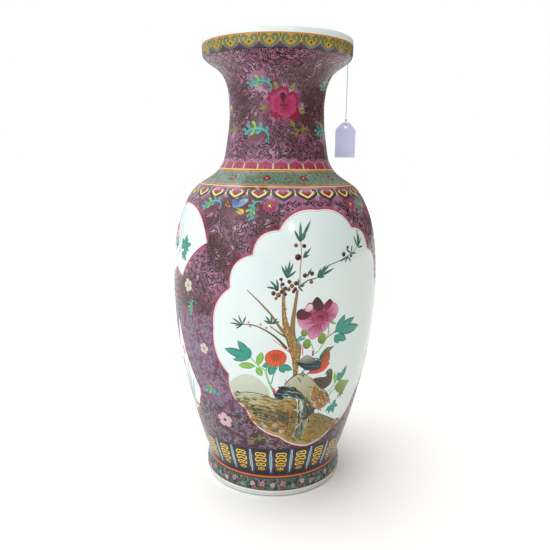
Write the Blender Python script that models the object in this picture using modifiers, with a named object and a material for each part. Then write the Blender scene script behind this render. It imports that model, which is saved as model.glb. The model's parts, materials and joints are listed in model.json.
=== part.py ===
"""Large porcelain baluster vase with a dish mouth, and the strung ticket that hangs from its lip.

Metres, +Z up. The origin is the centre of the foot's underside, and +Z is the vase's axis.
A vase of this size is raised in sections that are luted together with slip, so the wall is five
turned sections with a ring of slip between each two. outer_radius gives the outside of the whole
wall at a height, and every other face of the wall lies at a depth behind it, square to the surface.
The ticket hangs on a thread that is taped inside the mouth and passes over the lip.
"""

from math import cos, pi, radians, sin

import bmesh
import bpy
import numpy as np
from mathutils import Matrix, Vector

# Heights of the zones, from the foot up.
FOOT_HEIGHT = 0.030  # underside to the waist above the foot
BODY_HEIGHT = 0.390  # waist to the line at the base of the neck
NECK_HEIGHT = 0.140  # that line to the start of the dish mouth
MOUTH_FLARE_HEIGHT = 0.026  # the sloping underside of the dish
MOUTH_RIM_HEIGHT = 0.020  # the upright rim of the dish, lip included
BELLY_ABOVE_WAIST = 0.248  # where the body is widest
NECK_WAIST_ABOVE_BASE = 0.100  # where the neck is narrowest

# Outside radii.
FOOT_RADIUS = 0.0988
WAIST_RADIUS = 0.0960
BELLY_RADIUS = 0.1423
SHOULDER_RADIUS = 0.1045  # at the base of the neck
NECK_RADIUS = 0.0638  # at its narrowest
THROAT_RADIUS = 0.0722  # at the start of the dish
MOUTH_RADIUS = 0.0998

# Wall and foot.
WALL = 0.0070
FOOT_ROUND = 0.0045  # rounding of the foot's lower edge
FOOT_RING_WIDTH = 0.0130  # the face that the vase stands on, rounding included
RECESS_DEPTH = 0.0110  # hollow under the base
FLOOR_THICKNESS = 0.0080
SEAM_THICKNESS = 0.0012  # slip between two sections
GAP = 0.0003  # clearance between touching pieces
LINING_GAP = 0.0007  # clearance of what lies on the mouth's faceted inside

# Thread, tape and ticket.
THREAD_AZIMUTH = radians(15)
THREAD_RADIUS = 0.0005
TAPE_BELOW_LIP = 0.012
TAPE_HEIGHT = 0.010
TAPE_WIDTH = 0.013
TAPE_THICKNESS = 0.0003
THREAD_DROP = 0.0935  # straight run from the lip to the knot
KNOT_RADIUS = 0.0014
LOOP_HEIGHT = 0.0085  # knot to the place where the ticket hangs
LOOP_HALF_WIDTH = 0.0040
TICKET_WIDTH = 0.030
TICKET_LENGTH = 0.048
TICKET_THICKNESS = 0.0005
TICKET_CLIP = 0.0095  # clipped top corners
HOLE_RADIUS = 0.0023
HOLE_FROM_TOP = 0.0057
THREAD_ABOVE_HOLE_CENTRE = 0.0010

# Fineness of the turned and swept shapes.
TURN_STEPS = 48
THREAD_POINT_SPACING = 0.0028
THREAD_SIDES_RESOLUTION = 2

NECK_BASE = FOOT_HEIGHT + BODY_HEIGHT
THROAT = NECK_BASE + NECK_HEIGHT
RIM_BASE = THROAT + MOUTH_FLARE_HEIGHT
TOP = RIM_BASE + MOUTH_RIM_HEIGHT
LIP_RADIUS = WALL / 2
LIP_LEVEL = TOP - LIP_RADIUS
BELLY_LEVEL = FOOT_HEIGHT + BELLY_ABOVE_WAIST
NECK_WAIST_LEVEL = NECK_BASE + NECK_WAIST_ABOVE_BASE

# The slip joints: under the painted lines at the foot, the neck and the mouth, and at the belly.
FOOT_SEAM = FOOT_HEIGHT
BELLY_SEAM = BELLY_LEVEL - 0.018
NECK_SEAM = NECK_BASE + 0.012
MOUTH_SEAM = THROAT


def stations():
    """(height, radius) of the outside, bottom to top. Shares run along a zone's height and its
    change of radius, so each zone keeps its shape when one of its sizes changes."""
    found = [(0.0, FOOT_RADIUS), (0.6 * FOOT_HEIGHT, FOOT_RADIUS - 0.0006), (FOOT_HEIGHT, WAIST_RADIUS)]
    for share in (0.06, 0.13, 0.32, 0.50, 0.72, 1.0):
        height = FOOT_HEIGHT + share * BELLY_ABOVE_WAIST
        found.append((height, WAIST_RADIUS + sin(share * pi / 2) * (BELLY_RADIUS - WAIST_RADIUS)))
    for share, drop in ((0.26, 0.030), (0.49, 0.110), (0.66, 0.255), (0.81, 0.470), (0.92, 0.715), (1.0, 1.0)):
        height = BELLY_LEVEL + share * (NECK_BASE - BELLY_LEVEL)
        found.append((height, BELLY_RADIUS - drop * (BELLY_RADIUS - SHOULDER_RADIUS)))
    for share, drop in ((0.125, 0.49), (0.30, 0.795), (0.55, 0.91), (0.79, 0.985), (1.0, 1.0)):
        height = NECK_BASE + share * NECK_WAIST_ABOVE_BASE
        found.append((height, SHOULDER_RADIUS - drop * (SHOULDER_RADIUS - NECK_RADIUS)))
    found.append((0.4 * NECK_WAIST_LEVEL + 0.6 * THROAT, NECK_RADIUS + 0.29 * (THROAT_RADIUS - NECK_RADIUS)))
    found.append((THROAT, THROAT_RADIUS))
    for share, rise in ((0.36, 0.30), (0.66, 0.72), (0.88, 0.955)):
        height = THROAT + share * MOUTH_FLARE_HEIGHT
        found.append((height, THROAT_RADIUS + rise * (MOUTH_RADIUS - THROAT_RADIUS)))
    found.append((RIM_BASE + 0.15 * MOUTH_RIM_HEIGHT, MOUTH_RADIUS))
    found.append((TOP, MOUTH_RADIUS))
    return np.array(found)


def monotone_slopes(x, y):
    """Slopes of the cubic through the points that never overshoots them (Fritsch and Carlson)."""
    step = np.diff(x)
    rise = np.diff(y) / step
    slopes = np.zeros(len(x))
    for i in range(1, len(x) - 1):
        if rise[i - 1] * rise[i] > 0:
            a = 2 * step[i] + step[i - 1]
            b = step[i] + 2 * step[i - 1]
            slopes[i] = (a + b) / (a / rise[i - 1] + b / rise[i])
    slopes[0] = rise[0]
    slopes[-1] = rise[-1]
    return slopes


STATIONS = stations()
SLOPES = monotone_slopes(STATIONS[:, 0], STATIONS[:, 1])


def outer_radius(z):
    x, y = STATIONS[:, 0], STATIONS[:, 1]
    i = int(np.clip(np.searchsorted(x, z) - 1, 0, len(x) - 2))
    width = x[i + 1] - x[i]
    t = (z - x[i]) / width
    h00, h10 = (1 + 2 * t) * (1 - t) ** 2, t * (1 - t) ** 2
    h01, h11 = t * t * (3 - 2 * t), t * t * (t - 1)
    return h00 * y[i] + h10 * width * SLOPES[i] + h01 * y[i + 1] + h11 * width * SLOPES[i + 1]


def wall_point(z, depth=0.0):
    """(radius, height) at that depth behind the outside at height z, square to the surface."""
    step = 1e-5
    slope = (outer_radius(z + step) - outer_radius(z - step)) / (2 * step)
    length = (1 + slope * slope) ** 0.5
    return outer_radius(z) - depth / length, z + depth * slope / length


def wall_run(start, end, depth, count):
    return [wall_point(z, depth) for z in np.linspace(start, end, count)]


def arc(centre, radius, start, end, count):
    """Points of an arc in the (radius, height) plane, ends included; angles from the outward direction."""
    return [
        (centre[0] + radius * cos(a), centre[1] + radius * sin(a))
        for a in np.linspace(start, end, count)
    ]


def material(name, colour, roughness, coat=0.0):
    made = bpy.data.materials.new(name)
    made.use_nodes = True
    shader = made.node_tree.nodes["Principled BSDF"]
    shader.inputs["Base Color"].default_value = (*colour, 1.0)
    shader.inputs["Roughness"].default_value = roughness
    shader.inputs["Metallic"].default_value = 0.0
    shader.inputs["Coat Weight"].default_value = coat
    made.diffuse_color = (*colour, 1.0)
    return made


def add_object(name, data, collection, finish):
    made = bpy.data.objects.new(name, data)
    collection.objects.link(made)
    if finish:
        made.data.materials.append(finish)
    return made


def outline_mesh(name, points, closed):
    """A mesh of edges only through (radius, height) points, in the plane of +X and +Z."""
    shape = bmesh.new()
    corners = [shape.verts.new((r, 0.0, z)) for r, z in points]
    for a, b in zip(corners, corners[1:]):
        shape.edges.new((a, b))
    if closed:
        shape.edges.new((corners[-1], corners[0]))
    mesh = bpy.data.meshes.new(name)
    shape.to_mesh(mesh)
    shape.free()
    return mesh


def turn(obj, angle=2 * pi, steps=TURN_STEPS):
    screw = obj.modifiers.new("Turn", "SCREW")
    screw.axis = "Z"
    screw.angle = angle
    screw.steps = steps
    screw.render_steps = steps
    screw.use_merge_vertices = True
    screw.merge_threshold = 1e-5
    screw.use_smooth_shade = True
    return screw


def turned(name, points, collection, finish, closed=True):
    """A turned piece. The points run down its outer side first, then back up inside."""
    made = add_object(name, outline_mesh(name, points, closed), collection, finish)
    turn(made)
    return made


def section(name, low, high, count, collection, finish):
    """A plain length of the wall between two heights, its ends cut square to the surface."""
    outside = wall_run(high, low, 0.0, count)
    inside = wall_run(low, high, WALL, count)
    return turned(name, outside + inside, collection, finish)


def seam_bounds(level):
    """Heights where the section below a slip joint ends and where the one above starts."""
    half = SEAM_THICKNESS / 2 + GAP
    slope = (outer_radius(level + GAP) - outer_radius(level - GAP)) / (2 * GAP)
    along = half / (1 + slope * slope) ** 0.5
    return level - along, level + along


def slip_seam(name, level, collection, finish):
    below, above = seam_bounds(level)
    share = (SEAM_THICKNESS / 2) / (SEAM_THICKNESS / 2 + GAP)
    low, high = level - share * (level - below), level + share * (above - level)
    points = [wall_point(high), wall_point(low), wall_point(low, WALL), wall_point(high, WALL)]
    return turned(name, points, collection, finish)


def mouth_section(collection, finish):
    low = seam_bounds(MOUTH_SEAM)[1]
    lip = arc((MOUTH_RADIUS - LIP_RADIUS, LIP_LEVEL), LIP_RADIUS, pi, 0.0, 9)
    outside = wall_run(LIP_LEVEL, low, 0.0, 14)[1:]
    inside = wall_run(low, LIP_LEVEL, WALL, 14)[:-1]
    return turned("mouth_section", lip + outside + inside, collection, finish)


def foot_section(collection, finish):
    high = seam_bounds(FOOT_SEAM)[0]
    floor = RECESS_DEPTH + FLOOR_THICKNESS
    ring_inside = FOOT_RADIUS - FOOT_RING_WIDTH
    points = [(0.0, floor), (wall_point(floor, WALL)[0] - WALL, floor)]
    points += wall_run(floor + 0.4 * (high - floor), high, WALL, 3)
    points += wall_run(high, FOOT_ROUND, 0.0, 5)
    rounding = arc((FOOT_RADIUS - FOOT_ROUND, FOOT_ROUND), FOOT_ROUND, 0.0, -pi / 2, 5)
    points += rounding[1:]
    points += [
        (ring_inside, 0.0),
        (ring_inside - 0.4 * RECESS_DEPTH, 0.8 * RECESS_DEPTH),
        (ring_inside - RECESS_DEPTH, RECESS_DEPTH),
        (0.0, RECESS_DEPTH),
    ]
    return turned("foot_section", points, collection, finish, closed=False)


def turned_place(radius, height):
    """A point of the turned profile, in the upright plane of the thread."""
    return Vector((radius * cos(THREAD_AZIMUTH), radius * sin(THREAD_AZIMUTH), height))


def tube(name, points, collection, finish, cyclic=False):
    """A round thread along the points."""
    curve = bpy.data.curves.new(name, "CURVE")
    curve.dimensions = "3D"
    spline = curve.splines.new("POLY")
    spline.points.add(len(points) - 1)
    for target, point in zip(spline.points, points):
        target.co = (*point, 1.0)
    spline.use_cyclic_u = cyclic
    curve.bevel_depth = THREAD_RADIUS
    curve.bevel_resolution = THREAD_SIDES_RESOLUTION
    curve.use_fill_caps = True
    return add_object(name, curve, collection, finish)


def spaced(length):
    return max(3, round(length / THREAD_POINT_SPACING) + 1)


def thread_tape(collection, finish):
    """The patch that holds the thread to the inside of the mouth, curved as the wall is."""
    high = TOP - TAPE_BELOW_LIP
    profile = wall_run(high, high - TAPE_HEIGHT, WALL + LINING_GAP, 6)
    angle = TAPE_WIDTH / (MOUTH_RADIUS - WALL)
    made = add_object("thread_tape", outline_mesh("thread_tape", profile, False), collection, finish)
    turn(made, angle, 4)
    shell = made.modifiers.new("Thickness", "SOLIDIFY")
    shell.thickness = TAPE_THICKNESS
    shell.offset = -1.0
    made.rotation_euler.z = THREAD_AZIMUTH - angle / 2
    return made


def thread_over_lip(collection, finish):
    """From the tape up the inside of the mouth and over the lip, clear of the glaze."""
    depth = WALL + LINING_GAP + THREAD_RADIUS
    start = TOP - TAPE_BELOW_LIP + GAP
    inside = wall_run(start, LIP_LEVEL, depth, spaced(LIP_LEVEL - start))
    reach = LIP_RADIUS + GAP + THREAD_RADIUS
    over = arc((MOUTH_RADIUS - LIP_RADIUS, LIP_LEVEL), reach, pi, 0.0, 10)
    return tube("thread_over_lip", [turned_place(*p) for p in inside + over[1:]], collection, finish)


HANG_RADIUS = MOUTH_RADIUS + GAP + THREAD_RADIUS  # of the thread's straight run, from the axis
HANG = turned_place(HANG_RADIUS, LIP_LEVEL)
KNOT_TOP = LIP_LEVEL - THREAD_DROP
KNOT_CENTRE = KNOT_TOP - KNOT_RADIUS
TICKET_PIVOT = KNOT_CENTRE - LOOP_HEIGHT


def thread_hanging(collection, finish, hinge):
    """The straight run outside the mouth. Its parent stands where the thread leaves the lip."""
    start = -GAP
    end = KNOT_TOP + GAP - LIP_LEVEL
    heights = np.linspace(start, end, spaced(start - end))
    made = tube("thread_hanging", [(0.0, 0.0, z) for z in heights], collection, finish)
    made.parent = hinge
    return made


def mesh_of_curve(obj, name, collection, finish):
    """The curve object made a mesh, with its tube welded, and the curve removed."""
    bpy.context.view_layer.update()
    graph = bpy.context.evaluated_depsgraph_get()
    mesh = bpy.data.meshes.new_from_object(obj.evaluated_get(graph))
    shape = bmesh.new()
    shape.from_mesh(mesh)
    bmesh.ops.remove_doubles(shape, verts=shape.verts, dist=1e-6)
    shape.to_mesh(mesh)
    shape.free()
    made = add_object(name, mesh, collection, None)
    made.matrix_world = obj.matrix_world.copy()
    bpy.data.objects.remove(obj)
    if not mesh.materials:
        mesh.materials.append(finish)
    return made


def thread_loop(collection, cutters, finish, turn_place):
    """The loop that the ticket hangs in, joined with its knot. Its parent stands on the axis that
    the ticket turns about."""
    points = []
    for a in np.linspace(0.0, 2 * pi, 22, endpoint=False):
        narrowing = 0.5 * (1 - cos(a))  # 0 at the knot, 1 where the ticket hangs
        side = LOOP_HALF_WIDTH * sin(a) * (0.72 + 0.5 * narrowing)
        points.append((0.0, side, -LOOP_HEIGHT * narrowing))
    ring = tube("loop_curve", points, collection, finish, cyclic=True)
    made = mesh_of_curve(ring, "thread_loop", collection, finish)
    shape = bmesh.new()
    bmesh.ops.create_uvsphere(shape, u_segments=12, v_segments=8, radius=KNOT_RADIUS)
    mesh = bpy.data.meshes.new("knot")
    shape.to_mesh(mesh)
    shape.free()
    knot = add_object("knot", mesh, cutters, finish)
    knot.hide_render = True
    knot.display_type = "WIRE"
    for piece in (made, knot):
        piece.parent = turn_place
    union = made.modifiers.new("Knot", "BOOLEAN")
    union.operation = "UNION"
    union.object = knot
    return made


def ticket_card(collection, finish, pivot):
    """The clipped card with its hole. Its parent stands where the thread bears in the hole."""
    half = TICKET_WIDTH / 2
    top = HOLE_FROM_TOP - THREAD_ABOVE_HOLE_CENTRE
    bottom = top - TICKET_LENGTH
    outline = [
        (half - TICKET_CLIP, top),
        (half, top - TICKET_CLIP),
        (half, bottom),
        (-half, bottom),
        (-half, top - TICKET_CLIP),
        (TICKET_CLIP - half, top),
    ]
    hole = arc((0.0, -THREAD_ABOVE_HOLE_CENTRE), HOLE_RADIUS, 0.0, 2 * pi * 15 / 16, 16)
    curve = bpy.data.curves.new("ticket_card", "CURVE")
    curve.dimensions = "2D"
    curve.fill_mode = "BOTH"
    curve.extrude = TICKET_THICKNESS / 2
    for points in (outline, hole):
        spline = curve.splines.new("POLY")
        spline.points.add(len(points) - 1)
        for target, (x, y) in zip(spline.points, points):
            target.co = (x, y, 0.0, 1.0)
        spline.use_cyclic_u = True
    made = add_object("ticket_card", curve, collection, finish)
    made.parent = pivot
    made.rotation_euler.x = pi / 2
    return made


def joint_place(name, height, collection):
    """An empty on a joint's axis. Its X points away from the vase, and its Y along the rim."""
    made = bpy.data.objects.new(name, None)
    made.empty_display_size = 0.01
    made.matrix_world = Matrix.Translation(turned_place(HANG_RADIUS, height)) @ Matrix.Rotation(
        THREAD_AZIMUTH, 4, "Z"
    )
    collection.objects.link(made)
    return made


def new_collection(name):
    made = bpy.data.collections.new(name)
    bpy.context.scene.collection.children.link(made)
    return made


def main():
    for obj in list(bpy.data.objects):
        bpy.data.objects.remove(obj)
    vase = new_collection("porcelain_vase")
    cutters = new_collection("cutters")
    glaze = material("enamelled_glaze", (0.42, 0.16, 0.25), 0.12, 0.6)
    white = material("white_glaze", (0.86, 0.87, 0.84), 0.12, 0.6)
    slip = material("dried_slip", (0.80, 0.77, 0.70), 0.75)
    cotton = material("cotton_thread", (0.78, 0.78, 0.75), 0.85)
    film = material("clear_tape", (0.85, 0.84, 0.78), 0.25)
    card = material("lavender_card", (0.38, 0.35, 0.76), 0.70)

    mouth_section(vase, white)
    neck_low, neck_high = seam_bounds(NECK_SEAM)[1], seam_bounds(MOUTH_SEAM)[0]
    section("neck_section", neck_low, neck_high, 12, vase, glaze)
    upper_low, upper_high = seam_bounds(BELLY_SEAM)[1], seam_bounds(NECK_SEAM)[0]
    section("upper_body_section", upper_low, upper_high, 13, vase, glaze)
    lower_low, lower_high = seam_bounds(FOOT_SEAM)[1], seam_bounds(BELLY_SEAM)[0]
    section("lower_body_section", lower_low, lower_high, 10, vase, glaze)
    foot_section(vase, glaze)
    slip_seam("slip_seam_mouth", MOUTH_SEAM, vase, slip)
    slip_seam("slip_seam_neck", NECK_SEAM, vase, slip)
    slip_seam("slip_seam_belly", BELLY_SEAM, vase, slip)
    slip_seam("slip_seam_foot", FOOT_SEAM, vase, slip)

    thread_tape(vase, film)
    thread_over_lip(vase, cotton)
    thread_hanging(vase, cotton, joint_place("ticket_swing_axis", LIP_LEVEL, vase))
    thread_loop(vase, cutters, cotton, joint_place("ticket_turn_axis", KNOT_CENTRE, vase))
    ticket_card(vase, card, joint_place("ticket_sway_axis", TICKET_PIVOT, vase))


main()
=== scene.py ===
"""Looks of a large porcelain baluster vase: glazed wall, enamel painting, strung ticket and studio.

Metres, +Z up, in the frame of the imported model. The wall is turned from the outline of the packed
sections. The painting is laid on it as thin raised enamel, stroke by stroke: a shape is drawn flat in
millimetres, and a chart says where on the wall its plane lies. Azimuth 0 faces the front (-Y).
"""

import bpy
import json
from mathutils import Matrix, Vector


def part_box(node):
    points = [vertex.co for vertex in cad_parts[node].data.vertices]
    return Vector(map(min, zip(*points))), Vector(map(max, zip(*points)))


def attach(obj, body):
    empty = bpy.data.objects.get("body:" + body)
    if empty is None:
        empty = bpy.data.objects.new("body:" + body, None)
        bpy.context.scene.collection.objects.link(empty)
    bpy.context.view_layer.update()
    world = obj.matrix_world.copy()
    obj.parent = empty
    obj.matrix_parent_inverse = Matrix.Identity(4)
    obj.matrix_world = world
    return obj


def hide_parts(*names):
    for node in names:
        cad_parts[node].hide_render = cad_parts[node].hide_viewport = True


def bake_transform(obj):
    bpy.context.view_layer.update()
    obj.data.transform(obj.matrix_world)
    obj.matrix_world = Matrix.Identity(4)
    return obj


bl_info = {
    "name": "Porcelain Vase Looks",
    "version": (1, 0, 0),
    "blender": (4, 5, 0),
    "location": "3D View > Sidebar > Vase",
    "description": "Builds the glazed wall, the enamel painting, the strung ticket and the studio",
    "category": "Object",
}

import json
from math import cos, degrees, pi, radians, sin

import bmesh
import bpy
import numpy as np
from bpy.props import FloatProperty, FloatVectorProperty, IntProperty, PointerProperty
from mathutils import Matrix, Vector
from mathutils.bvhtree import BVHTree

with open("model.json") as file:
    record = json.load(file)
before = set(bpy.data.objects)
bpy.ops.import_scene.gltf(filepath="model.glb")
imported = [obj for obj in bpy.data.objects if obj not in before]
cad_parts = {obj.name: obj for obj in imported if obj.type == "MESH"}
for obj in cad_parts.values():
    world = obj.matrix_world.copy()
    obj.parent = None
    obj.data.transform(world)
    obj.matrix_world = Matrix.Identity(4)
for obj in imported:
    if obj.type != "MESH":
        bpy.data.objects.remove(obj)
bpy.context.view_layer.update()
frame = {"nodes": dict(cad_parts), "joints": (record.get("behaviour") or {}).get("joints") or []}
NODES = frame["nodes"]
MM = 0.001

# Heights of the painted lines and bands.
RIM_LINE = 0.5966
CLOUD_HEADS = 0.5880
RIM_LOW = 0.5828
NECK_LOW_LINE = 0.4375
SHOULDER_LINE = 0.4200
LAPPETS = 0.4115
HOOKS_LOW = 0.262
CURLS_HIGH = 0.258
FOOT_BAND_TOP = 0.0768
FOOT_LINE = 0.0285
FOOT_WHITE = 0.0088
BARE_RING = 0.0006

SECTIONS = ("foot_section", "lower_body_section", "upper_body_section", "neck_section", "mouth_section")
SEAMS = ("slip_seam_foot", "slip_seam_belly", "slip_seam_neck", "slip_seam_mouth")


# The wall ---------------------------------------------------------------------------------------


def wall_points():
    """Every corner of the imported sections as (radius, height), and a tree of their faces."""
    corners = []
    faces = []
    for name in SECTIONS + SEAMS:
        mesh = NODES[name].data
        start = len(corners)
        corners += [vertex.co.copy() for vertex in mesh.vertices]
        faces += [[start + i for i in polygon.vertices] for polygon in mesh.polygons]
    places = np.array(corners)
    flat = np.stack([np.hypot(places[:, 0], places[:, 1]), places[:, 2]], 1)
    return np.unique(np.round(flat, 6), axis=0), BVHTree.FromPolygons(corners, faces)


CORNERS, WALL_TREE = wall_points()
TOP = float(CORNERS[:, 1].max())


def reach(start, direction):
    """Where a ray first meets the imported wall."""
    return WALL_TREE.ray_cast(Vector(start), Vector(direction))[0]


def outside_at(z):
    """The radius of the outside, or 1 where a ray slips between two sections."""
    met = reach((1.0, 1e-5, z), (-1.0, 0.0, 0.0))
    return met.x if met and met.x > 0 else 1.0


RIM_MIDDLE = TOP - 0.008
WALL = outside_at(RIM_MIDDLE) - reach((0.0, 1e-5, RIM_MIDDLE), (1.0, 0.0, 0.0)).x
LIP_LEVEL = TOP - WALL / 2
FOOT_FACE = CORNERS[CORNERS[:, 1] < 1e-5][:, 0]
FOOT_RING_INSIDE = float(FOOT_FACE[FOOT_FACE > 0.01].min())
FOOT_EDGE = CORNERS[CORNERS[:, 1] < 0.008]
FOOT_ROUND = float(FOOT_EDGE[FOOT_EDGE[:, 0].argmax()][1])
RECESS = reach((1e-4, 1e-4, -1.0), (0.0, 0.0, 1.0)).z
FLOOR = reach((1e-4, 1e-4, 1.0), (0.0, 0.0, -1.0)).z


def seam_level(name):
    """The height of a slip seam on the outside, which is the larger end of its slanted ring."""
    places = np.array([vertex.co for vertex in NODES[name].data.vertices])
    reach_out = np.hypot(places[:, 0], places[:, 1])
    return float(places[reach_out > reach_out.mean(), 2].mean())


SEAM_LEVELS = {name: seam_level(name) for name in SEAMS}


def outline_tables():
    """Height, radius, slope and length along the outside, at close steps."""
    found = [
        (z, r)
        for r, z in CORNERS
        if FOOT_ROUND - 1e-6 < z < LIP_LEVEL + 1e-6 and r > outside_at(z) - 2e-5
    ]
    places = np.array(sorted(found))
    places = places[np.insert(np.diff(places[:, 0]) > 0.001, 0, True)]
    x, y = places.T
    slopes = np.gradient(y, x)
    z = np.linspace(x[0], x[-1], 4000)
    i = np.clip(np.searchsorted(x, z) - 1, 0, len(x) - 2)
    width = x[i + 1] - x[i]
    t = (z - x[i]) / width
    r = (1 + 2 * t) * (1 - t) ** 2 * y[i] + t * (1 - t) ** 2 * width * slopes[i]
    r += t * t * (3 - 2 * t) * y[i + 1] + t * t * (t - 1) * width * slopes[i + 1]
    slope = np.gradient(r, z)
    length = np.concatenate([[0.0], np.cumsum(np.hypot(np.diff(z), np.diff(r)))])
    return z, r, slope, length


HEIGHTS, RADII, SLOPES, LENGTHS = outline_tables()


def radius(z):
    return np.interp(z, HEIGHTS, RADII)


def profile_point(z, depth):
    """(radius, height) at that depth behind the outside, square to it."""
    slope = np.interp(z, HEIGHTS, SLOPES)
    square = 1 / np.sqrt(1 + slope * slope)
    return radius(z) - depth * square, z + depth * slope * square


def on_wall(azimuth, z, lift):
    """Places on the wall, raised by lift."""
    r, height = profile_point(z, -lift)
    return np.stack([r * np.sin(azimuth), -r * np.cos(azimuth), height], 1)


def along_wall(start, end, step):
    """Heights at even steps along the outside."""
    a, b = np.interp((start, end), HEIGHTS, LENGTHS)
    count = max(2, round(abs(b - a) / step) + 1)
    return np.interp(np.linspace(a, b, count), LENGTHS, HEIGHTS)


# Sizes and colours ------------------------------------------------------------------------------


def ink(code):
    """A colour written as six hexadecimal digits, in linear light."""
    shares = [int(code[i : i + 2], 16) / 255 for i in (0, 2, 4)]
    return tuple(x / 12.92 if x <= 0.04045 else ((x + 0.055) / 1.055) ** 2.4 for x in shares)


# Each enamel: its colour, the colour of its rim, and how much lighter its crest is, as a painted
# highlight.
ENAMELS = {
    "scroll": ("1b0e14", "a98d94", 1.3),
    "scroll_brown": ("2b1814", "b09084", 1.4),
    "squiggle": ("a2939f", "75606f", 1.1),
    "squiggle_blue": ("83a3b0", "5c6880", 1.15),
    "squiggle_dark": ("2a1826", "5a4254", 1.2),
    "outline_red": ("a82a3e", "8a2236", 1.3),
    "line_orange": ("d8662a", "a8431c", 1.25),
    "line_yellow": ("ecc63c", "c48a24", 1.15),
    "yellow": ("efd348", "c9a026", 1.15),
    "white_line": ("e6e2d8", "b9b0ae", 1.05),
    "ruyi_green": ("5d6a58", "171d18", 1.3),
    "band_scroll": ("2a4038", "a9b48c", 1.5),
    "fringe": ("573554", "8f7396", 1.4),
    "navy": ("22264e", "7c84a8", 1.5),
    "maroon": ("6b1a30", "3c0f1e", 1.4),
    "crimson": ("9c2145", "5e1029", 1.35),
    "pink": ("b84574", "6e1a3c", 1.35),
    "peony": ("b93d70", "6e1c40", 1.4),
    "peony_pale": ("d99abd", "b0628d", 1.25),
    "peony_dark": ("4c1420", "2c0d14", 1.6),
    "peony_brown": ("3a2414", "22120c", 1.6),
    "bloom": ("dc4a22", "a52c18", 1.25),
    "bloom_line": ("8e1f14", "8e1f14", 1.1),
    "teal": ("2f8f7c", "134a44", 1.3),
    "teal_dark": ("1f5f50", "0f3c36", 1.4),
    "turquoise": ("4a9c97", "12343a", 1.35),
    "leaf": ("83b84a", "375f26", 1.25),
    "leaf_dark": ("1e3a2c", "0e211b", 1.6),
    "olive": ("7a7a34", "3f4220", 1.3),
    "needle": ("3b6a5a", "1c3a35", 1.35),
    "bark": ("86683a", "453018", 1.25),
    "gold_dot": ("d6b45c", "a98438", 1.1),
    "bark_dark": ("5a4426", "3a2a18", 1.3),
    "stipple": ("4a3516", "4a3516", 1.2),
    "berry": ("35170f", "1d0c0a", 1.9),
    "amber": ("b5672c", "6f3a16", 1.3),
    "plume_teal": ("24464f", "13262f", 1.6),
    "plume_rust": ("95401f", "5d2415", 1.4),
    "plume_red": ("d2432a", "93281c", 1.3),
    "plume_grey": ("a9ab9e", "5c6058", 1.25),
    "plume_slate": ("3d3c38", "1f1f20", 1.6),
    "ink_line": ("1a1c1e", "1a1c1e", 1.2),
    "rock_pale": ("b9bfa4", "6b745f", 1.15),
    "rock_sand": ("b8a064", "7c6c40", 1.2),
    "rock_gold": ("987a34", "6e5626", 1.2),
    "rock_ochre": ("6c5626", "4a3e20", 1.35),
    "rock_green": ("4c5a3e", "2a3326", 1.5),
    "rock_black": ("152020", "0b1112", 2.0),
    "wash": ("cfd3c4", "dfe2da", 1.04),
    "moss_wash": ("bcc2ae", "dee2dc", 1.04),
    "blue": ("5f86b8", "22365e", 1.25),
    "blossom_white": ("c9bab2", "6a3a38", 1.2),
    "ruby_dot": ("b5173f", "7c0f2c", 1.3),
}
ENAMEL_NAMES = list(ENAMELS)


def colour_property(name, description, code):
    return FloatVectorProperty(
        name=name, description=description, subtype="COLOR", size=3, min=0.0, max=1.0, default=ink(code)
    )


def length_property(name, description, default):
    return FloatProperty(name=name, description=description, default=default, unit="LENGTH", min=0.0)


def angle_property(name, description, turn):
    return FloatProperty(name=name, description=description, default=radians(turn), subtype="ANGLE")


class EnamelColours(bpy.types.PropertyGroup):
    """The colour of each enamel."""

    __annotations__ = {
        name: colour_property(name.replace("_", " ").capitalize(), "Body colour of this enamel", body)
        for name, (body, _, _) in ENAMELS.items()
    }


class WallLooks(bpy.types.PropertyGroup):
    """Colours of the glazed wall."""

    porcelain: colour_property("Porcelain", "Glazed white of mouth and reserves", "dee8e6")
    ground: colour_property("Ground", "Rose purple under the scrolls", "9c6080")
    ground_light: colour_property("Light ground", "Paler clouds in the ground", "b48caa")
    ground_dark: colour_property("Dark ground", "Maroon clouds in the ground", "5e2c38")
    low_ground: colour_property("Low ground", "Aubergine ground above the foot band", "32141f")
    orchid: colour_property("Orchid", "Bright ground between the reserves", "77446a")
    rim_yellow: colour_property("Rim yellow", "Ground of the band round the mouth", "b39c2c")
    band_green: colour_property("Band green", "Ground of the band round the shoulder", "74866c")
    foot_navy: colour_property("Foot navy", "Ground of the band above the foot", "1c1826")
    foot_green: colour_property("Foot green", "Ground of the band on the foot", "2c3a33")
    biscuit: colour_property("Biscuit", "Bare edge that the vase stands on", "b9a184")


class PaintSizes(bpy.types.PropertyGroup):
    """Sizes of the painting."""

    relief: length_property("Relief", "Height of a broad stroke", 0.00016)
    outline: length_property("Outline", "Width of the line round a reserve", 0.0018)
    scroll_pitch: length_property("Scroll pitch", "Distance between scrolls of the ground", 0.0083)
    squiggle_pitch: length_property("Squiggle pitch", "Distance between the fine curls", 0.0052)
    panel_azimuth: angle_property("Panel azimuth", "Where the large reserve stands", 23.6)
    rim_heads: IntProperty(name="Rim heads", description="Cloud heads round the mouth", default=25, min=3)
    hearts: IntProperty(name="Hearts", description="Lappets round the shoulder", default=24, min=3)


class TicketLooks(bpy.types.PropertyGroup):
    """Colours and sizes of thread and ticket."""

    card: colour_property("Card", "Lavender card", "dadaff")
    cotton: colour_property("Cotton", "Twisted thread", "d3d5d6")
    tape: colour_property("Tape", "Patch that holds the thread", "e4e2d6")
    thread: length_property("Thread", "Diameter of the thread", 0.001)


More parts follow.
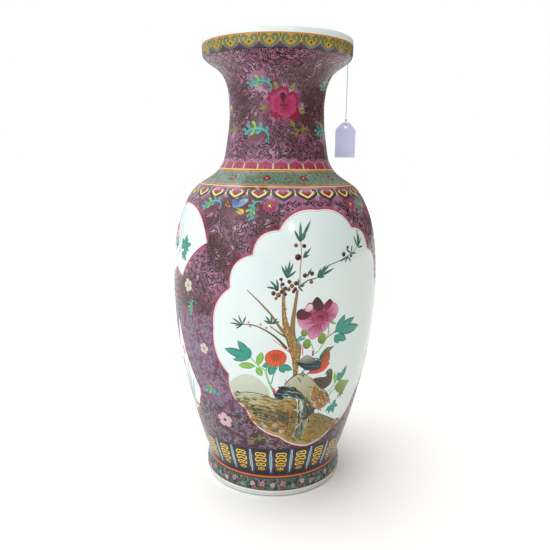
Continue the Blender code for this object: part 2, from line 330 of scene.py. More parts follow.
class StudioLooks(bpy.types.PropertyGroup):
    """Camera and light."""

    camera_distance: length_property("Camera distance", "From the axis, along Y", 0.806)
    camera_height: length_property("Camera height", "Above the floor", 0.4534)
    camera_pitch: angle_property("Pitch", "Downward", 11.495)
    camera_roll: angle_property("Roll", "About the view", 0.654)
    focal_length: FloatProperty(name="Lens", description="Millimetres on a 36 mm sensor", default=37.505)
    floor: colour_property("Floor", "Pale floor", "fbfaf8")


GROUPS = {
    "vase_enamels": EnamelColours,
    "vase_wall": WallLooks,
    "vase_paint": PaintSizes,
    "vase_ticket": TicketLooks,
    "vase_studio": StudioLooks,
}


# Materials --------------------------------------------------------------------------------------


class Value:
    """A node's output that takes part in sums."""

    def __init__(self, nodes, socket):
        self.nodes = nodes
        self.socket = socket

    def _sum(self, operation, first, second):
        return self.nodes.node("ShaderNodeMath", {0: first, 1: second}, operation=operation)

    def __add__(self, other):
        return self._sum("ADD", self, other)

    __radd__ = __add__

    def __sub__(self, other):
        return self._sum("SUBTRACT", self, other)

    def __rsub__(self, other):
        return self._sum("SUBTRACT", other, self)

    def __mul__(self, other):
        return self._sum("MULTIPLY", self, other)

    __rmul__ = __mul__

    def __gt__(self, other):
        return self._sum("GREATER_THAN", self, other)

    def __lt__(self, other):
        return self._sum("LESS_THAN", self, other)


class Nodes:
    """A node tree, and the few ways in which its nodes are made."""

    def __init__(self, tree):
        self.tree = tree

    def node(self, kind, inputs=None, output=0, **settings):
        made = self.tree.nodes.new(kind)
        for key, value in settings.items():
            setattr(made, key, value)
        for key, value in (inputs or {}).items():
            self.feed(made.inputs[key], value)
        return Value(self, made.outputs[output])

    def feed(self, socket, value):
        if isinstance(value, Value):
            self.tree.links.new(value.socket, socket)
        elif isinstance(value, tuple) and len(value) == 3 and socket.type == "RGBA":
            socket.default_value = (*value, 1.0)
        else:
            socket.default_value = value

    def mix(self, factor, first, second):
        return self.node("ShaderNodeMix", {0: factor, 6: first, 7: second}, 2, data_type="RGBA")

    def spread(self, value, low, high, to_low=0.0, to_high=1.0, kind="LINEAR"):
        ends = {"From Min": low, "From Max": high, "To Min": to_low, "To Max": to_high}
        return self.node("ShaderNodeMapRange", {"Value": value, **ends}, interpolation_type=kind)

    def window(self, value, low, high):
        """1 where value is over high, 0 where it is under low."""
        return self.spread(value, low, high, kind="SMOOTHSTEP")


class Finish(Nodes):
    """A material and the nodes that it is made of."""

    def __init__(self, name):
        self.material = bpy.data.materials.new(name)
        self.material.use_nodes = True
        super().__init__(self.material.node_tree)

    def place(self):
        return self.node("ShaderNodeTexCoord", output="Object")

    def noise(self, scale, detail=2.0, roughness=0.5, place=None):
        inputs = {
            "Vector": place or self.place(), "Scale": scale, "Detail": detail, "Roughness": roughness
        }
        return self.node("ShaderNodeTexNoise", inputs)

    def bump(self, height, strength, distance):
        return self.node("ShaderNodeBump", {"Height": height, "Strength": strength, "Distance": distance})

    def wear(self, **sockets):
        shader = self.tree.nodes["Principled BSDF"]
        for name, value in sockets.items():
            self.feed(shader.inputs[name.replace("_", " ")], value)
        return self.material


def glaze_gloss(finish, fine=700.0):
    """Roughness and surface of a fired glaze: slow pooling and a fine orange peel."""
    pools = finish.noise(55.0, 3.0)
    peel = finish.noise(fine, 2.0)
    return {
        "Roughness": pools * 0.12 + 0.10,
        "Normal": finish.bump(pools * 0.6 + peel * 0.4, 0.10, 0.0004),
        "Coat_Weight": 0.1,
        "Coat_Roughness": 0.05,
        "Specular_IOR_Level": 0.36,
    }


def white_glaze():
    looks = bpy.context.scene.vase_wall
    finish = Finish("white_glaze")
    white = tuple(looks.porcelain)
    cool = tuple(x * y for x, y in zip(white, (0.93, 0.965, 0.97)))
    clouds = finish.mix(finish.window(finish.noise(14.0, 3.0), 0.35, 0.7), white, cool)
    specks = finish.window(finish.noise(620.0, 1.0), 0.775, 0.80)
    colour = finish.mix(specks * 0.5, clouds, ink("a8977c"))
    return finish.wear(Base_Color=colour, **glaze_gloss(finish))


def painted_ground():
    """The rose ground with its clouds, and the grounds of the bands, by height."""
    looks = bpy.context.scene.vase_wall
    finish = Finish("painted_ground")
    place = finish.place()
    z = finish.node("ShaderNodeSeparateXYZ", {0: place}, "Z")
    slow = finish.noise(17.0, 3.0, 0.6, place)
    middle = finish.noise(75.0, 3.0, 0.6, place)
    wash = finish.noise(330.0, 2.0, 0.6, place)
    colour = finish.mix(finish.window(slow, 0.42, 0.62), tuple(looks.ground_dark), tuple(looks.ground))
    colour = finish.mix(finish.window(middle, 0.52, 0.72), colour, tuple(looks.ground_light))
    wave = z + (slow - 0.5) * 0.05
    orchid = finish.window(wave, 0.112, 0.128) * (1 - finish.window(wave, 0.245, 0.275))
    colour = finish.mix(orchid * 0.75, colour, tuple(looks.orchid))
    low = 1 - finish.window(z + (middle - 0.5) * 0.05, 0.120, 0.150)
    colour = finish.mix(low * 0.85, colour, tuple(looks.low_ground))
    colour = finish.mix(finish.window(wash, 0.5, 0.75) * 0.35, colour, ink("3a1c2e"))
    bands = (
        (NECK_LOW_LINE - 0.0165, NECK_LOW_LINE, looks.band_green),
        (FOOT_LINE, FOOT_BAND_TOP, looks.foot_navy),
        (FOOT_WHITE, FOOT_LINE, looks.foot_green),
        (BARE_RING, FOOT_WHITE, looks.porcelain),
        (-0.001, BARE_RING, looks.biscuit),
        (RIM_LOW, RIM_LINE, looks.rim_yellow),
    )
    for low_edge, high_edge, shade in bands:
        inside = (z > low_edge) * (z < high_edge)
        mottled = finish.mix(
            finish.window(wash, 0.3, 0.8) * 0.35, tuple(shade), tuple(x * 0.62 for x in shade)
        )
        colour = finish.mix(inside, colour, mottled)
    return finish.wear(Base_Color=colour, **glaze_gloss(finish))


def fired_enamel():
    """Enamel that takes its colour from the pigment attribute, with the brush's streaks."""
    finish = Finish("fired_enamel")
    # The pigment attribute also carries the lighter crest colours, which are painted highlights.
    pigment = finish.node("ShaderNodeAttribute", attribute_name="pigment", output="Color")
    streaks = finish.window(finish.noise(900.0, 2.0), 0.35, 0.75)
    colour = finish.mix(streaks * 0.18, pigment, (0.05, 0.03, 0.04))
    gloss = glaze_gloss(finish, 1400.0)
    gloss["Roughness"] = finish.noise(260.0) * 0.18 + 0.10
    return finish.wear(Base_Color=colour, **gloss)


def bare_biscuit():
    looks = bpy.context.scene.vase_wall
    finish = Finish("bare_biscuit")
    grains = finish.noise(1100.0, 3.0)
    shade = tuple(looks.biscuit)
    colour = finish.mix(finish.window(grains, 0.3, 0.7), shade, tuple(x * 0.6 for x in shade))
    return finish.wear(Base_Color=colour, Roughness=0.85, Normal=finish.bump(grains, 0.4, 0.0003))


def lavender_card():
    finish = Finish("lavender_card")
    shade = tuple(bpy.context.scene.vase_ticket.card)
    fibres = finish.noise(1500.0, 4.0, 0.7)
    clouds = finish.noise(90.0, 2.0)
    colour = finish.mix(
        finish.window(clouds, 0.3, 0.7) * 0.25, shade, tuple(min(1.0, x * 1.18) for x in shade)
    )
    colour = finish.mix(finish.window(fibres, 0.55, 0.8) * 0.10, colour, ink("8f8bcf"))
    return finish.wear(Base_Color=colour, Roughness=0.78, Normal=finish.bump(fibres, 0.10, 0.0001))


def cotton_thread():
    finish = Finish("cotton_thread")
    shade = tuple(bpy.context.scene.vase_ticket.cotton)
    fuzz = finish.noise(2600.0, 3.0, 0.7)
    colour = finish.mix(finish.window(fuzz, 0.3, 0.7), shade, tuple(x * 0.66 for x in shade))
    return finish.wear(Base_Color=colour, Roughness=0.9, Normal=finish.bump(fuzz, 0.5, 0.0002))


def tape_film():
    finish = Finish("clear_tape")
    shade = tuple(bpy.context.scene.vase_ticket.tape)
    creases_and_shade = finish.noise(240.0, 3.0)
    # Darker where the creases are: painted shade in the creases; the same noise gives their bump and
    # roughness.
    colour = finish.mix(finish.window(creases_and_shade, 0.35, 0.7), shade, tuple(x * 0.88 for x in shade))
    roughness = creases_and_shade * 0.3 + 0.2
    return finish.wear(Base_Color=colour, Roughness=roughness, Normal=finish.bump(creases_and_shade, 0.3, 0.0002))


def studio_floor():
    finish = Finish("studio_floor")
    shade = tuple(bpy.context.scene.vase_studio.floor)
    clouds = finish.noise(1.5, 2.0)
    colour = finish.mix(clouds, shade, tuple(x * 0.975 for x in shade))
    # The floor glows more the farther it is from the vase: painted light that brightens it to white.
    distance = finish.node("ShaderNodeVectorMath", {0: finish.place()}, "Value", operation="LENGTH")
    far_glow_share = finish.window(distance, 0.8, 3.5)
    glow = finish.mix(far_glow_share, (0.0, 0.0, 0.0), (0.45, 0.45, 0.45))
    return finish.wear(Base_Color=colour, Roughness=0.7, Emission_Color=glow, Emission_Strength=1.0)


FINISHES = {
    "white_glaze": white_glaze,
    "enamelled_glaze": painted_ground,
    "fired_enamel": fired_enamel,
    "bare_biscuit": bare_biscuit,
    "lavender_card": lavender_card,
    "cotton_thread": cotton_thread,
    "clear_tape": tape_film,
    "studio_floor": studio_floor,
}
made_finishes = {}


def finish_of(name):
    if name not in made_finishes:
        made_finishes[name] = FINISHES[name]()
    return made_finishes[name]


# Modelling with operators -----------------------------------------------------------------------


def edit(piece):
    """Opens one piece for editing, with all of it selected."""
    if bpy.context.mode != "OBJECT":
        bpy.ops.object.mode_set(mode="OBJECT")
    bpy.ops.object.select_all(action="DESELECT")
    bpy.context.view_layer.objects.active = piece
    piece.select_set(True)
    bpy.ops.object.mode_set(mode="EDIT")
    bpy.ops.mesh.select_all(action="SELECT")


def close_edit(smooth_angle=None):
    bpy.ops.object.mode_set(mode="OBJECT")
    if smooth_angle is not None:
        bpy.ops.object.shade_smooth_by_angle(angle=smooth_angle)


def added(name):
    """The primitive that was just added, named."""
    piece = bpy.context.active_object
    piece.name = name
    piece.data.name = name
    return piece


def place_in_mesh(piece):
    bpy.ops.object.select_all(action="DESELECT")
    bpy.context.view_layer.objects.active = piece
    piece.select_set(True)
    bpy.ops.object.transform_apply(location=True, rotation=True, scale=True)


def turned(name, profile, steps=256):
    """A ring or bowl turned about the axis from a closed loop of (radius, height) points."""
    bpy.ops.object.select_all(action="DESELECT")
    bpy.ops.mesh.primitive_circle_add(vertices=len(profile), radius=0.1, fill_type="NOTHING")
    piece = added(name)
    for vertex, (r, z) in zip(piece.data.vertices, profile):
        vertex.co = (max(r, 0.0), 0.0, z)
    edit(piece)
    shape = bmesh.from_edit_mesh(piece.data)
    for edge in shape.edges:
        edge.select = all(vertex.co.x < 1e-7 for vertex in edge.verts)
    if any(edge.select for edge in shape.edges):
        bpy.ops.mesh.delete(type="EDGE")
    bpy.ops.mesh.select_all(action="SELECT")
    bpy.ops.mesh.spin(steps=steps, angle=2 * pi, center=(0.0, 0.0, 0.0), axis=(0.0, 0.0, 1.0))
    bpy.ops.mesh.select_all(action="SELECT")
    bpy.ops.mesh.remove_doubles(threshold=1e-6)
    bpy.ops.mesh.normals_make_consistent(inside=False)
    close_edit(radians(40))
    return piece


def dress(piece, body, slot, *finishes):
    """Gives a piece its materials, named by finishes or else by slot, and the body that it rides on."""
    piece.data.materials.clear()
    for name in finishes or (slot,):
        piece.data.materials.append(finish_of(name))
    if body:
        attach(piece, body)
    return piece


# Flat shapes ------------------------------------------------------------------------------------


class Shape:
    """A thin closed piece of enamel drawn flat: places and lifts in millimetres, faces and colours."""

    def __init__(self, xy, lift, loops, sizes, colour, chart_uv):
        self.xy = np.asarray(xy, float)
        self.lift = np.asarray(lift, float)
        self.loops = np.asarray(loops, int)
        self.sizes = np.asarray(sizes, int)
        self.colour = np.asarray(colour, float)
        self.uv = np.asarray(chart_uv, float)

    def moved(self, x=0.0, y=0.0, turn=0.0, size=1.0, flip=1.0, raised=0.0):
        a = radians(turn)
        flat = self.xy * (flip * size, size)
        xy = flat @ np.array([[cos(a), sin(a)], [-sin(a), cos(a)]]) + (x, y)
        return Shape(xy, self.lift + raised, self.loops, self.sizes, self.colour, self.uv)


def joined(shapes):
    starts = np.cumsum([0] + [len(s.xy) for s in shapes[:-1]])
    return Shape(
        np.concatenate([s.xy for s in shapes]),
        np.concatenate([s.lift for s in shapes]),
        np.concatenate([s.loops + start for s, start in zip(shapes, starts)]),
        np.concatenate([s.sizes for s in shapes]),
        np.concatenate([s.colour for s in shapes]),
        np.concatenate([s.uv for s in shapes]),
    )


def smooth_path(points, per_span, closed=False):
    """A curve through the points, with per_span steps between each two."""
    p = np.asarray(points, float)
    if per_span == 1:
        return p
    if closed:
        held = np.vstack([p[-1:], p, p[:2]])
    else:
        held = np.vstack([2 * p[:1] - p[1:2], p, 2 * p[-1:] - p[-2:-1]])
    t = (np.arange(per_span) / per_span)[:, None]
    spans = []
    for a, b, c, d in zip(held, held[1:], held[2:], held[3:]):
        bend = t**2 * (2 * a - 5 * b + 4 * c - d) + t**3 * (3 * b - a - 3 * c + d)
        spans.append(0.5 * (2 * b + t * (c - a) + bend))
    return np.vstack(spans + ([] if closed else [p[-1:]]))


def shades(name):
    """Slot on the colour chart, and the rim, body and crest colours of an enamel; the crest colour is a
    painted highlight.
    """
    _, rim, highlight_gain = ENAMELS[name]
    body = np.array(getattr(bpy.context.scene.vase_enamels, name))
    return ENAMEL_NAMES.index(name), np.array(ink(rim)), body, np.minimum(body * highlight_gain, 0.95)


def on_chart(slot, along, across):
    """Places on the colour chart, where each enamel has an upright strip."""
    u = (slot + 0.08 + 0.84 * np.clip(along, 0, 1)) / len(ENAMEL_NAMES)
    return np.stack([u, 0.02 + 0.96 * np.clip(across, 0, 1)], -1)


def strip_faces(count, k, closed):
    """Corner numbers and face sizes of a strip of count rows of k points, with its flat underside."""
    last = count if closed else count - 1
    i = np.arange(last)[:, None] * k
    j = (np.arange(1, last + 1) % count)[:, None] * k
    c = np.arange(k - 1)[None, :]
    top_faces = np.stack([i + c, j + c, j + c + 1, i + c + 1], -1).reshape(-1, 4)
    under = np.concatenate([i, i + k - 1, j + k - 1, j], 1)
    loops = np.concatenate([top_faces.ravel(), under.ravel()])
    sizes = [4] * (len(top_faces) + len(under))
    if not closed:
        start = np.arange(k)
        end = (count - 1) * k + np.arange(k)[::-1]
        loops = np.concatenate([loops, start, end])
        sizes += [k, k]
    return loops, sizes


def stroke(points, widths, pigment, per_span=4, closed=False, fine=False, halo=0.36):
    """A brush stroke along a path, raised in the middle, with a rim of the halo share of each half."""
    path = smooth_path(points, per_span, closed)
    count = len(path)
    widths = np.atleast_1d(np.asarray(widths, float))
    along = np.linspace(0, 1, count)
    width = np.interp(along, np.linspace(0, 1, len(widths)), widths)
    if closed:
        step = np.roll(path, -1, 0) - np.roll(path, 1, 0)
    else:
        step = np.gradient(path, axis=0)
    step /= np.maximum(np.linalg.norm(step, axis=1), 1e-9)[:, None]
    side = np.stack([-step[:, 1], step[:, 0]], 1)
    across = np.array((-1.0, 0.0, 1.0) if fine else (-1.0, halo - 1, 0.0, 1 - halo, 1.0))
    k = len(across)
    relief = bpy.context.scene.vase_paint.relief / MM
    crest = np.minimum(relief, 0.05 + 0.10 * width)
    rise = np.array((0.0, 1.0, 0.0) if fine else (0.0, 0.75, 1.0, 0.75, 0.0))
    xy = path[:, None] + side[:, None] * (width / 2)[:, None, None] * across[None, :, None]
    lift = -0.04 + (crest[:, None] + 0.04) * rise
    slot, rim, body, top = shades(pigment)
    # The middle of each row takes the lighter crest colour, a painted highlight on the raised stroke.
    row = [rim, body, rim] if fine else [rim, body, top, body, rim]
    colour = np.broadcast_to(np.array(row), (count, k, 3))
    uv = on_chart(slot, np.repeat(along, k), np.tile((across + 1) / 2, count))
    loops, sizes = strip_faces(count, k, closed)
    return Shape(xy.reshape(-1, 2), lift.ravel(), loops, sizes, colour.reshape(-1, 3), uv)


def patch(outline, pigment, second=None, grain=90.0, crest=0.15, rings=None, deep=False):
    """A filled shape, star-shaped about its middle, whose colour runs from pigment to second along grain,
    or without second to a painted highlight.

    A deep one is a sheet with a back of its own, which reaches into the wall.
    """
    edge = np.asarray(outline, float)
    middle = edge.mean(0)
    count = len(edge)
    reach_out = np.linalg.norm(edge - middle, axis=1).max()
    if rings is None:
        outer = max(0.8, 1 - 1.2 / reach_out)
        inner = 0.5 if reach_out < 8 else 0.15
        rings = (1.0, *np.linspace(outer, inner, 2 + int(reach_out / 5)))
    xy = np.concatenate([middle + f * (edge - middle) for f in rings] + [middle[None]])
    lift = np.concatenate(
        [np.full(count, -0.04)] + [np.full(count, crest)] * (len(rings) - 1) + [[crest]]
    )
    lift[count : 2 * count] = crest * 0.8
    slot, rim, body, top = shades(pigment)
    # Without a second pigment the colour runs along grain from the body to the lighter crest colour, a
    # painted highlight.
    if second:
        top = shades(second)[2]
    heading = np.array((cos(radians(grain)), sin(radians(grain))))
    run = xy @ heading
    run = (run - run.min()) / max(np.ptp(run), 1e-6)
    cross = xy @ (heading[1], -heading[0])
    cross = (cross - cross.min()) / max(np.ptp(cross), 1e-6)
    colour = body + (top - body) * run[:, None]
    colour[:count] = rim
    uv = on_chart(slot, cross, run)
    i = np.arange(count)
    j = (i + 1) % count
    loops = [
        np.stack(
            [r + i, r + j, r + count + j, r + count + i], 1
        ) for r in np.arange(len(rings) - 1) * count
    ]
    last = (len(rings) - 1) * count
    fan = np.stack([last + i, last + j, np.full(count, last + count)], 1)
    sizes = [4] * (count * (len(rings) - 1)) + [3] * count
    if deep:
        start = len(xy)
        below = start + np.arange(len(xy))
        loops = [np.concatenate(loops).ravel(), fan.ravel()]
        copy = np.concatenate(loops)
        wall = np.stack([j, i, start + i, start + j], 1).ravel()
        back = []
        at = 0
        for size in sizes:
            back.append(below[copy[at : at + size]][::-1])
            at += size
        loops = np.concatenate([copy, *back, wall])
        sizes = sizes + sizes + [4] * count
        xy = np.concatenate([xy, xy])
        lift = np.concatenate([lift, np.full(len(lift), -0.30)])
        lift[:count] = crest * 0.4
        colour = np.concatenate([colour, colour])
        uv = np.concatenate([uv, uv])
    else:
        loops = np.concatenate([np.concatenate(loops).ravel(), fan.ravel(), i[::-1]])
        sizes = sizes + [count]
    return Shape(xy, lift, loops, sizes, colour, uv)


def round_outline(x, y, across, high=None, count=12):
    a = np.linspace(0, 2 * pi, count, endpoint=False)
    return np.stack([across / 2 * np.cos(a), (high or across) / 2 * np.sin(a)], 1) + (x, y)


def dab(x, y, across, pigment, second=None, count=10, crest=0.16):
    # With no second pigment the dab lightens towards its upper left, a painted highlight.
    return patch(
        round_outline(x, y, across, count=count), pigment, second, 120.0, crest, (1.0, 0.78, 0.4)
    )


def loop_patch(points, pigment, second=None, grain=90.0, crest=0.16):
    """A patch whose outline is a smooth loop through the points."""
    return patch(smooth_path(points, 4, True), pigment, second, grain, crest)


def loop_patches(rows):
    """Patches from rows of (points, pigment, second, grain, height raised)."""
    return [loop_patch(*row).moved(raised=raised) for *row, raised in rows]


def with_mirror(half):
    """The points of one half and then their mirror image, where a point on the axis isn't repeated."""
    return half + [(-x, y) for x, y in reversed(half) if x]


def lobed(cusps, bulges, per_arc=14):
    """An outline of arcs between cusps, each bulging out by its share of the chord."""
    p = np.asarray(cusps, float)
    t = (np.arange(per_arc) / per_arc)[:, None]
    arcs = []
    for a, b, rise in zip(p, np.roll(p, -1, 0), bulges):
        out = np.array((b[1] - a[1], a[0] - b[0]))
        arcs.append(a + (b - a) * t + out * rise * 4 * t * (1 - t))
    return np.vstack(arcs)


# Where shapes lie on the wall --------------------------------------------------------------------


def panel_chart(azimuth, flip=1.0):
    """Flat x is the distance from the panel's upright middle, flat y the height above the floor."""

    def chart(xy):
        z = xy[:, 1] * MM
        return azimuth + flip * xy[:, 0] * MM / radius(z), z

    return chart


def spot_chart(azimuth, height, turn=0.0, size=1.0, flip=1.0):
    """A small plane laid on the wall at a place, turned and scaled."""
    a = radians(turn)
    middle = np.interp(height, HEIGHTS, LENGTHS)

    def chart(xy):
        x = size * flip * (xy[:, 0] * cos(a) - xy[:, 1] * sin(a))
        y = size * (xy[:, 0] * sin(a) + xy[:, 1] * cos(a))
        z = np.interp(middle + y * MM, LENGTHS, HEIGHTS)
        return azimuth + x * MM / radius(z), z

    return chart


def ring_chart(height):
    """Flat x is the azimuth in thousandths of a turn, flat y the distance along the wall."""
    middle = np.interp(height, HEIGHTS, LENGTHS)

    def chart(xy):
        return xy[:, 0] * 2 * pi * MM, np.interp(middle + xy[:, 1] * MM, LENGTHS, HEIGHTS)

    return chart


class Paint:
    """Shapes laid on the wall, gathered into one piece."""

    def __init__(self):
        self.places = []
        self.loops = []
        self.sizes = []
        self.colours = []
        self.maps = []
        self.count = 0

    def lay(self, shape, chart, raised=0.0):
        azimuth, z = chart(shape.xy)
        self.places.append(on_wall(azimuth, z, (shape.lift + raised) * MM))
        self.loops.append(shape.loops + self.count)
        self.sizes.append(shape.sizes)
        self.colours.append(shape.colour)
        self.maps.append(shape.uv)
        self.count += len(shape.xy)

    def piece(self, name, slot="enamelled_glaze", finish="fired_enamel"):
        mesh = bpy.data.meshes.new(name)
        loops = np.concatenate(self.loops)
        sizes = np.concatenate(self.sizes)
        mesh.vertices.add(self.count)
        mesh.vertices.foreach_set("co", np.concatenate(self.places).ravel())
        mesh.loops.add(len(loops))
        mesh.loops.foreach_set("vertex_index", loops)
        mesh.polygons.add(len(sizes))
        mesh.polygons.foreach_set("loop_start", np.concatenate([[0], np.cumsum(sizes)[:-1]]))
        mesh.update(calc_edges=True)
        pigment = mesh.color_attributes.new("pigment", "FLOAT_COLOR", "POINT")
        colours = np.concatenate(self.colours)
        pigment.data.foreach_set("color", np.hstack([colours, np.ones((len(colours), 1))]).ravel())
        layer = mesh.uv_layers.new(name="OFBake")
        layer.uv.foreach_set("vector", np.concatenate(self.maps)[loops].ravel())
        piece = bpy.data.objects.new(name, mesh)
        bpy.context.scene.collection.objects.link(piece)
        edit(piece)
        bpy.ops.mesh.normals_make_consistent(inside=False)
        close_edit(radians(50))
        return dress(piece, "vase", slot, finish)


# Reserves ---------------------------------------------------------------------------------------

LARGE_HALF = [
    (0, 394), (51, 371), (85, 342), (115, 300), (139, 246), (115, 186), (88, 138), (40, 96), (0, 77)
]
LARGE_BULGE = (0.16, 0.20, 0.21, 0.15, 0.13, 0.15, 0.12, 0.08)
UPPER_HALF = [(0, 396), (70, 351), (21, 301), (0, 313)]
UPPER_BULGE = (0.16, -0.07, 0.05)
LOWER_HALF = [(0, 248), (36, 150), (27, 131), (0, 106)]
LOWER_BULGE = (-0.03, 0.10, 0.10)


def reserve_outline(half, bulges):
    """Both halves as one loop, anticlockwise from the top."""
    left = [(-x, y) for x, y in half]
    return lobed(left + half[-2:0:-1], bulges + bulges[::-1])


RESERVE_SHAPES = {
    "large": reserve_outline(LARGE_HALF, LARGE_BULGE),
    "upper": reserve_outline(UPPER_HALF, UPPER_BULGE),
    "lower": reserve_outline(LOWER_HALF, LOWER_BULGE),
}


def reserve_places():
    """(shape, azimuth) of each reserve: two large ones, and small ones above each other between."""
    first = bpy.context.scene.vase_paint.panel_azimuth
    quarter = pi / 2
    places = [("large", first), ("large", first + 2 * quarter)]
    for kind in ("upper", "lower"):
        places += [(kind, first - quarter), (kind, first + quarter)]
    return places


def inside(outline, points):
    """For each point, whether it lies inside the closed outline."""
    a = outline[None]
    b = np.roll(outline, -1, 0)[None]
    p = points[:, None]
    crosses = (a[..., 1] > p[..., 1]) != (b[..., 1] > p[..., 1])
    rise = np.where(b[..., 1] == a[..., 1], 1e-9, b[..., 1] - a[..., 1])
    at = a[..., 0] + (p[..., 1] - a[..., 1]) / rise * (b[..., 0] - a[..., 0])
    return (crosses & (p[..., 0] < at)).sum(1) % 2 == 1


def clear_of_reserves(azimuth, z, margin):
    """For each place, whether it is on the ground and that many millimetres from any reserve."""
    free = np.ones(len(azimuth), bool)
    for kind, middle in reserve_places():
        outline = RESERVE_SHAPES[kind]
        turn = (azimuth - middle + pi) % (2 * pi) - pi
        flat = np.stack([turn * radius(z) / MM, z / MM], 1)
        gap = np.linalg.norm(flat[:, None] - outline[None], axis=2).min(1)
        free &= ~inside(outline, flat) & (gap > margin)
    return free


BLOOMS = []  # (azimuth, height, radius in mm) of what the scrolls leave room for


def clear_of_blooms(azimuth, z):
    free = np.ones(len(azimuth), bool)
    for middle, height, size in BLOOMS:
        turn = (azimuth - middle + pi) % (2 * pi) - pi
        free &= np.hypot(turn * radius(z), z - height) > size * MM
    return free


def scattered(low, high, pitch, seed):
    """Azimuths and heights spread over a zone of the wall in jittered rows."""
    draw = np.random.default_rng(seed)
    azimuths = []
    heights = []
    for row, z in enumerate(along_wall(low, high, pitch * 0.88)):
        count = round(2 * pi * radius(z) / pitch)
        turn = (np.arange(count) + 0.5 * (row % 2)) * 2 * pi / count
        azimuths.append(turn + draw.uniform(-0.22, 0.22, count) * pitch / radius(z))
        heights.append(z + draw.uniform(-0.16, 0.16, count) * pitch)
    return np.concatenate(azimuths), np.clip(np.concatenate(heights), low, high), draw


# Motifs -----------------------------------------------------------------------------------------


def spiral(turns, inner, outer, count=9):
    """Points of a spiral from its eye outwards."""
    t = np.linspace(0, 1, count)
    a = 2 * pi * turns * t
    r = inner + (outer - inner) * t
    return np.stack([r * np.cos(a), r * np.sin(a)], 1)


def scroll_forms(pigment, fine=False, heavy=1.0):
    """The hooks and double hooks of the ground, each about 10 mm long."""
    rim = 0.26 if fine else 0.46
    forms = []
    for turns, outer, tail in ((0.95, 3.9, 3.6), (0.8, 3.7, 3.0), (1.15, 4.1, 4.6)):
        eye = spiral(turns, 0.5, outer, 9)
        heading = np.array((-sin(2 * pi * turns), cos(2 * pi * turns)))
        out = np.array((cos(2 * pi * turns), sin(2 * pi * turns)))
        run = [eye[-1] + heading * tail * s + out * tail * 0.35 * s * s for s in (0.35, 0.7, 1.0)]
        hook = np.vstack([eye, run])
        widths = np.array((2.4, 2.1, 1.7, 1.6, 1.7, 1.9, 2.2, 2.6, 2.7, 2.0, 0.8)) * heavy
        forms.append(stroke(hook - hook.mean(0), widths, pigment, 1, fine=fine, halo=rim))
    eye = spiral(0.85, 0.5, 3.2, 7)
    other = -eye[::-1] + (0.0, 7.6)
    double = np.vstack([eye, other])
    widths = np.array((2.4, 1.8, 1.8, 2.6, 1.8, 1.8, 2.4)) * heavy
    forms.append(stroke(double - double.mean(0), widths, pigment, 1, fine=fine, halo=rim))
    return forms


def blade_leaf(x, y, length, width, turn, pigment, bend=0.0, vein=None):
    """A pointed leaf from (x, y) along turn degrees from the upright."""
    points = [(0, 0), (bend * 0.45, length * 0.35), (bend * 0.9, length * 0.7), (bend, length)]
    shapes = [stroke(points, (0.3, 0.8 * width, width, 0.7 * width, 0.12), pigment, 3)]
    if vein:
        inner = [(0, length * 0.05), (bend * 0.45, length * 0.35), (bend * 0.85, length * 0.8)]
        shapes.append(stroke(inner, (0.45, 0.35, 0.15), vein, 3, fine=True).moved(raised=0.13))
    return joined(shapes).moved(x, y, turn)


def lobed_leaf(x, y, size, turn, pigment="teal", vein="leaf_dark"):
    """A broad leaf with five pointed lobes."""
    lobes = (
        (0, 1.0, 0.42, 0.0),
        (-34, 0.74, 0.36, 0.10),
        (34, 0.74, 0.36, -0.10),
        (-72, 0.46, 0.28, 0.1),
        (72, 0.46, 0.28, -0.1),
    )
    shapes = []
    for k, (angle, length, width, bend) in enumerate(lobes):
        leaf = blade_leaf(0, 0, size * length, size * width, angle, pigment, size * bend, vein)
        shapes.append(leaf.moved(raised=0.012 * k))
    return joined(shapes).moved(x, y, turn)


def petal(x, y, length, width, turn, pigment, second, raised=0.0):
    """A frilled petal, narrow at its foot, with fine veins."""
    half = [(0.12, 0), (0.36, 0.3), (0.5, 0.66), (0.36, 0.93), (0.17, 0.9), (0.0, 1.03)]
    edge = smooth_path([(u * width, v * length) for u, v in with_mirror(half)], 3, True)
    shapes = [patch(edge, pigment, second, 90.0)]
    for lean in (-0.28, 0.0, 0.28):
        line = [(0, length * 0.12), (lean * width * 0.6, length * 0.5), (lean * width, length * 0.84)]
        shapes.append(stroke(line, (0.5, 0.4, 0.15), pigment, 2, fine=True).moved(raised=0.14))
    return joined(shapes).moved(x, y, turn, raised=raised)


def blossom(petals, size, pigment, second, heart, dots="line_yellow"):
    """An open flower: petals round a heart with a ring of stamens."""
    shapes = []
    for k in range(petals):
        turn = 360 * k / petals
        shapes.append(petal(0, 0, size * 0.5, size * 0.42, turn, pigment, second, 0.015 * (k % 2)))
    shapes.append(dab(0, 0, size * 0.22, heart).moved(raised=0.12))
    for k in range(6):
        a = 2 * pi * k / 6
        stamen = dab(size * 0.17 * cos(a), size * 0.17 * sin(a), size * 0.06, dots, count=6)
        shapes.append(stamen.moved(raised=0.14))
    return joined(shapes)


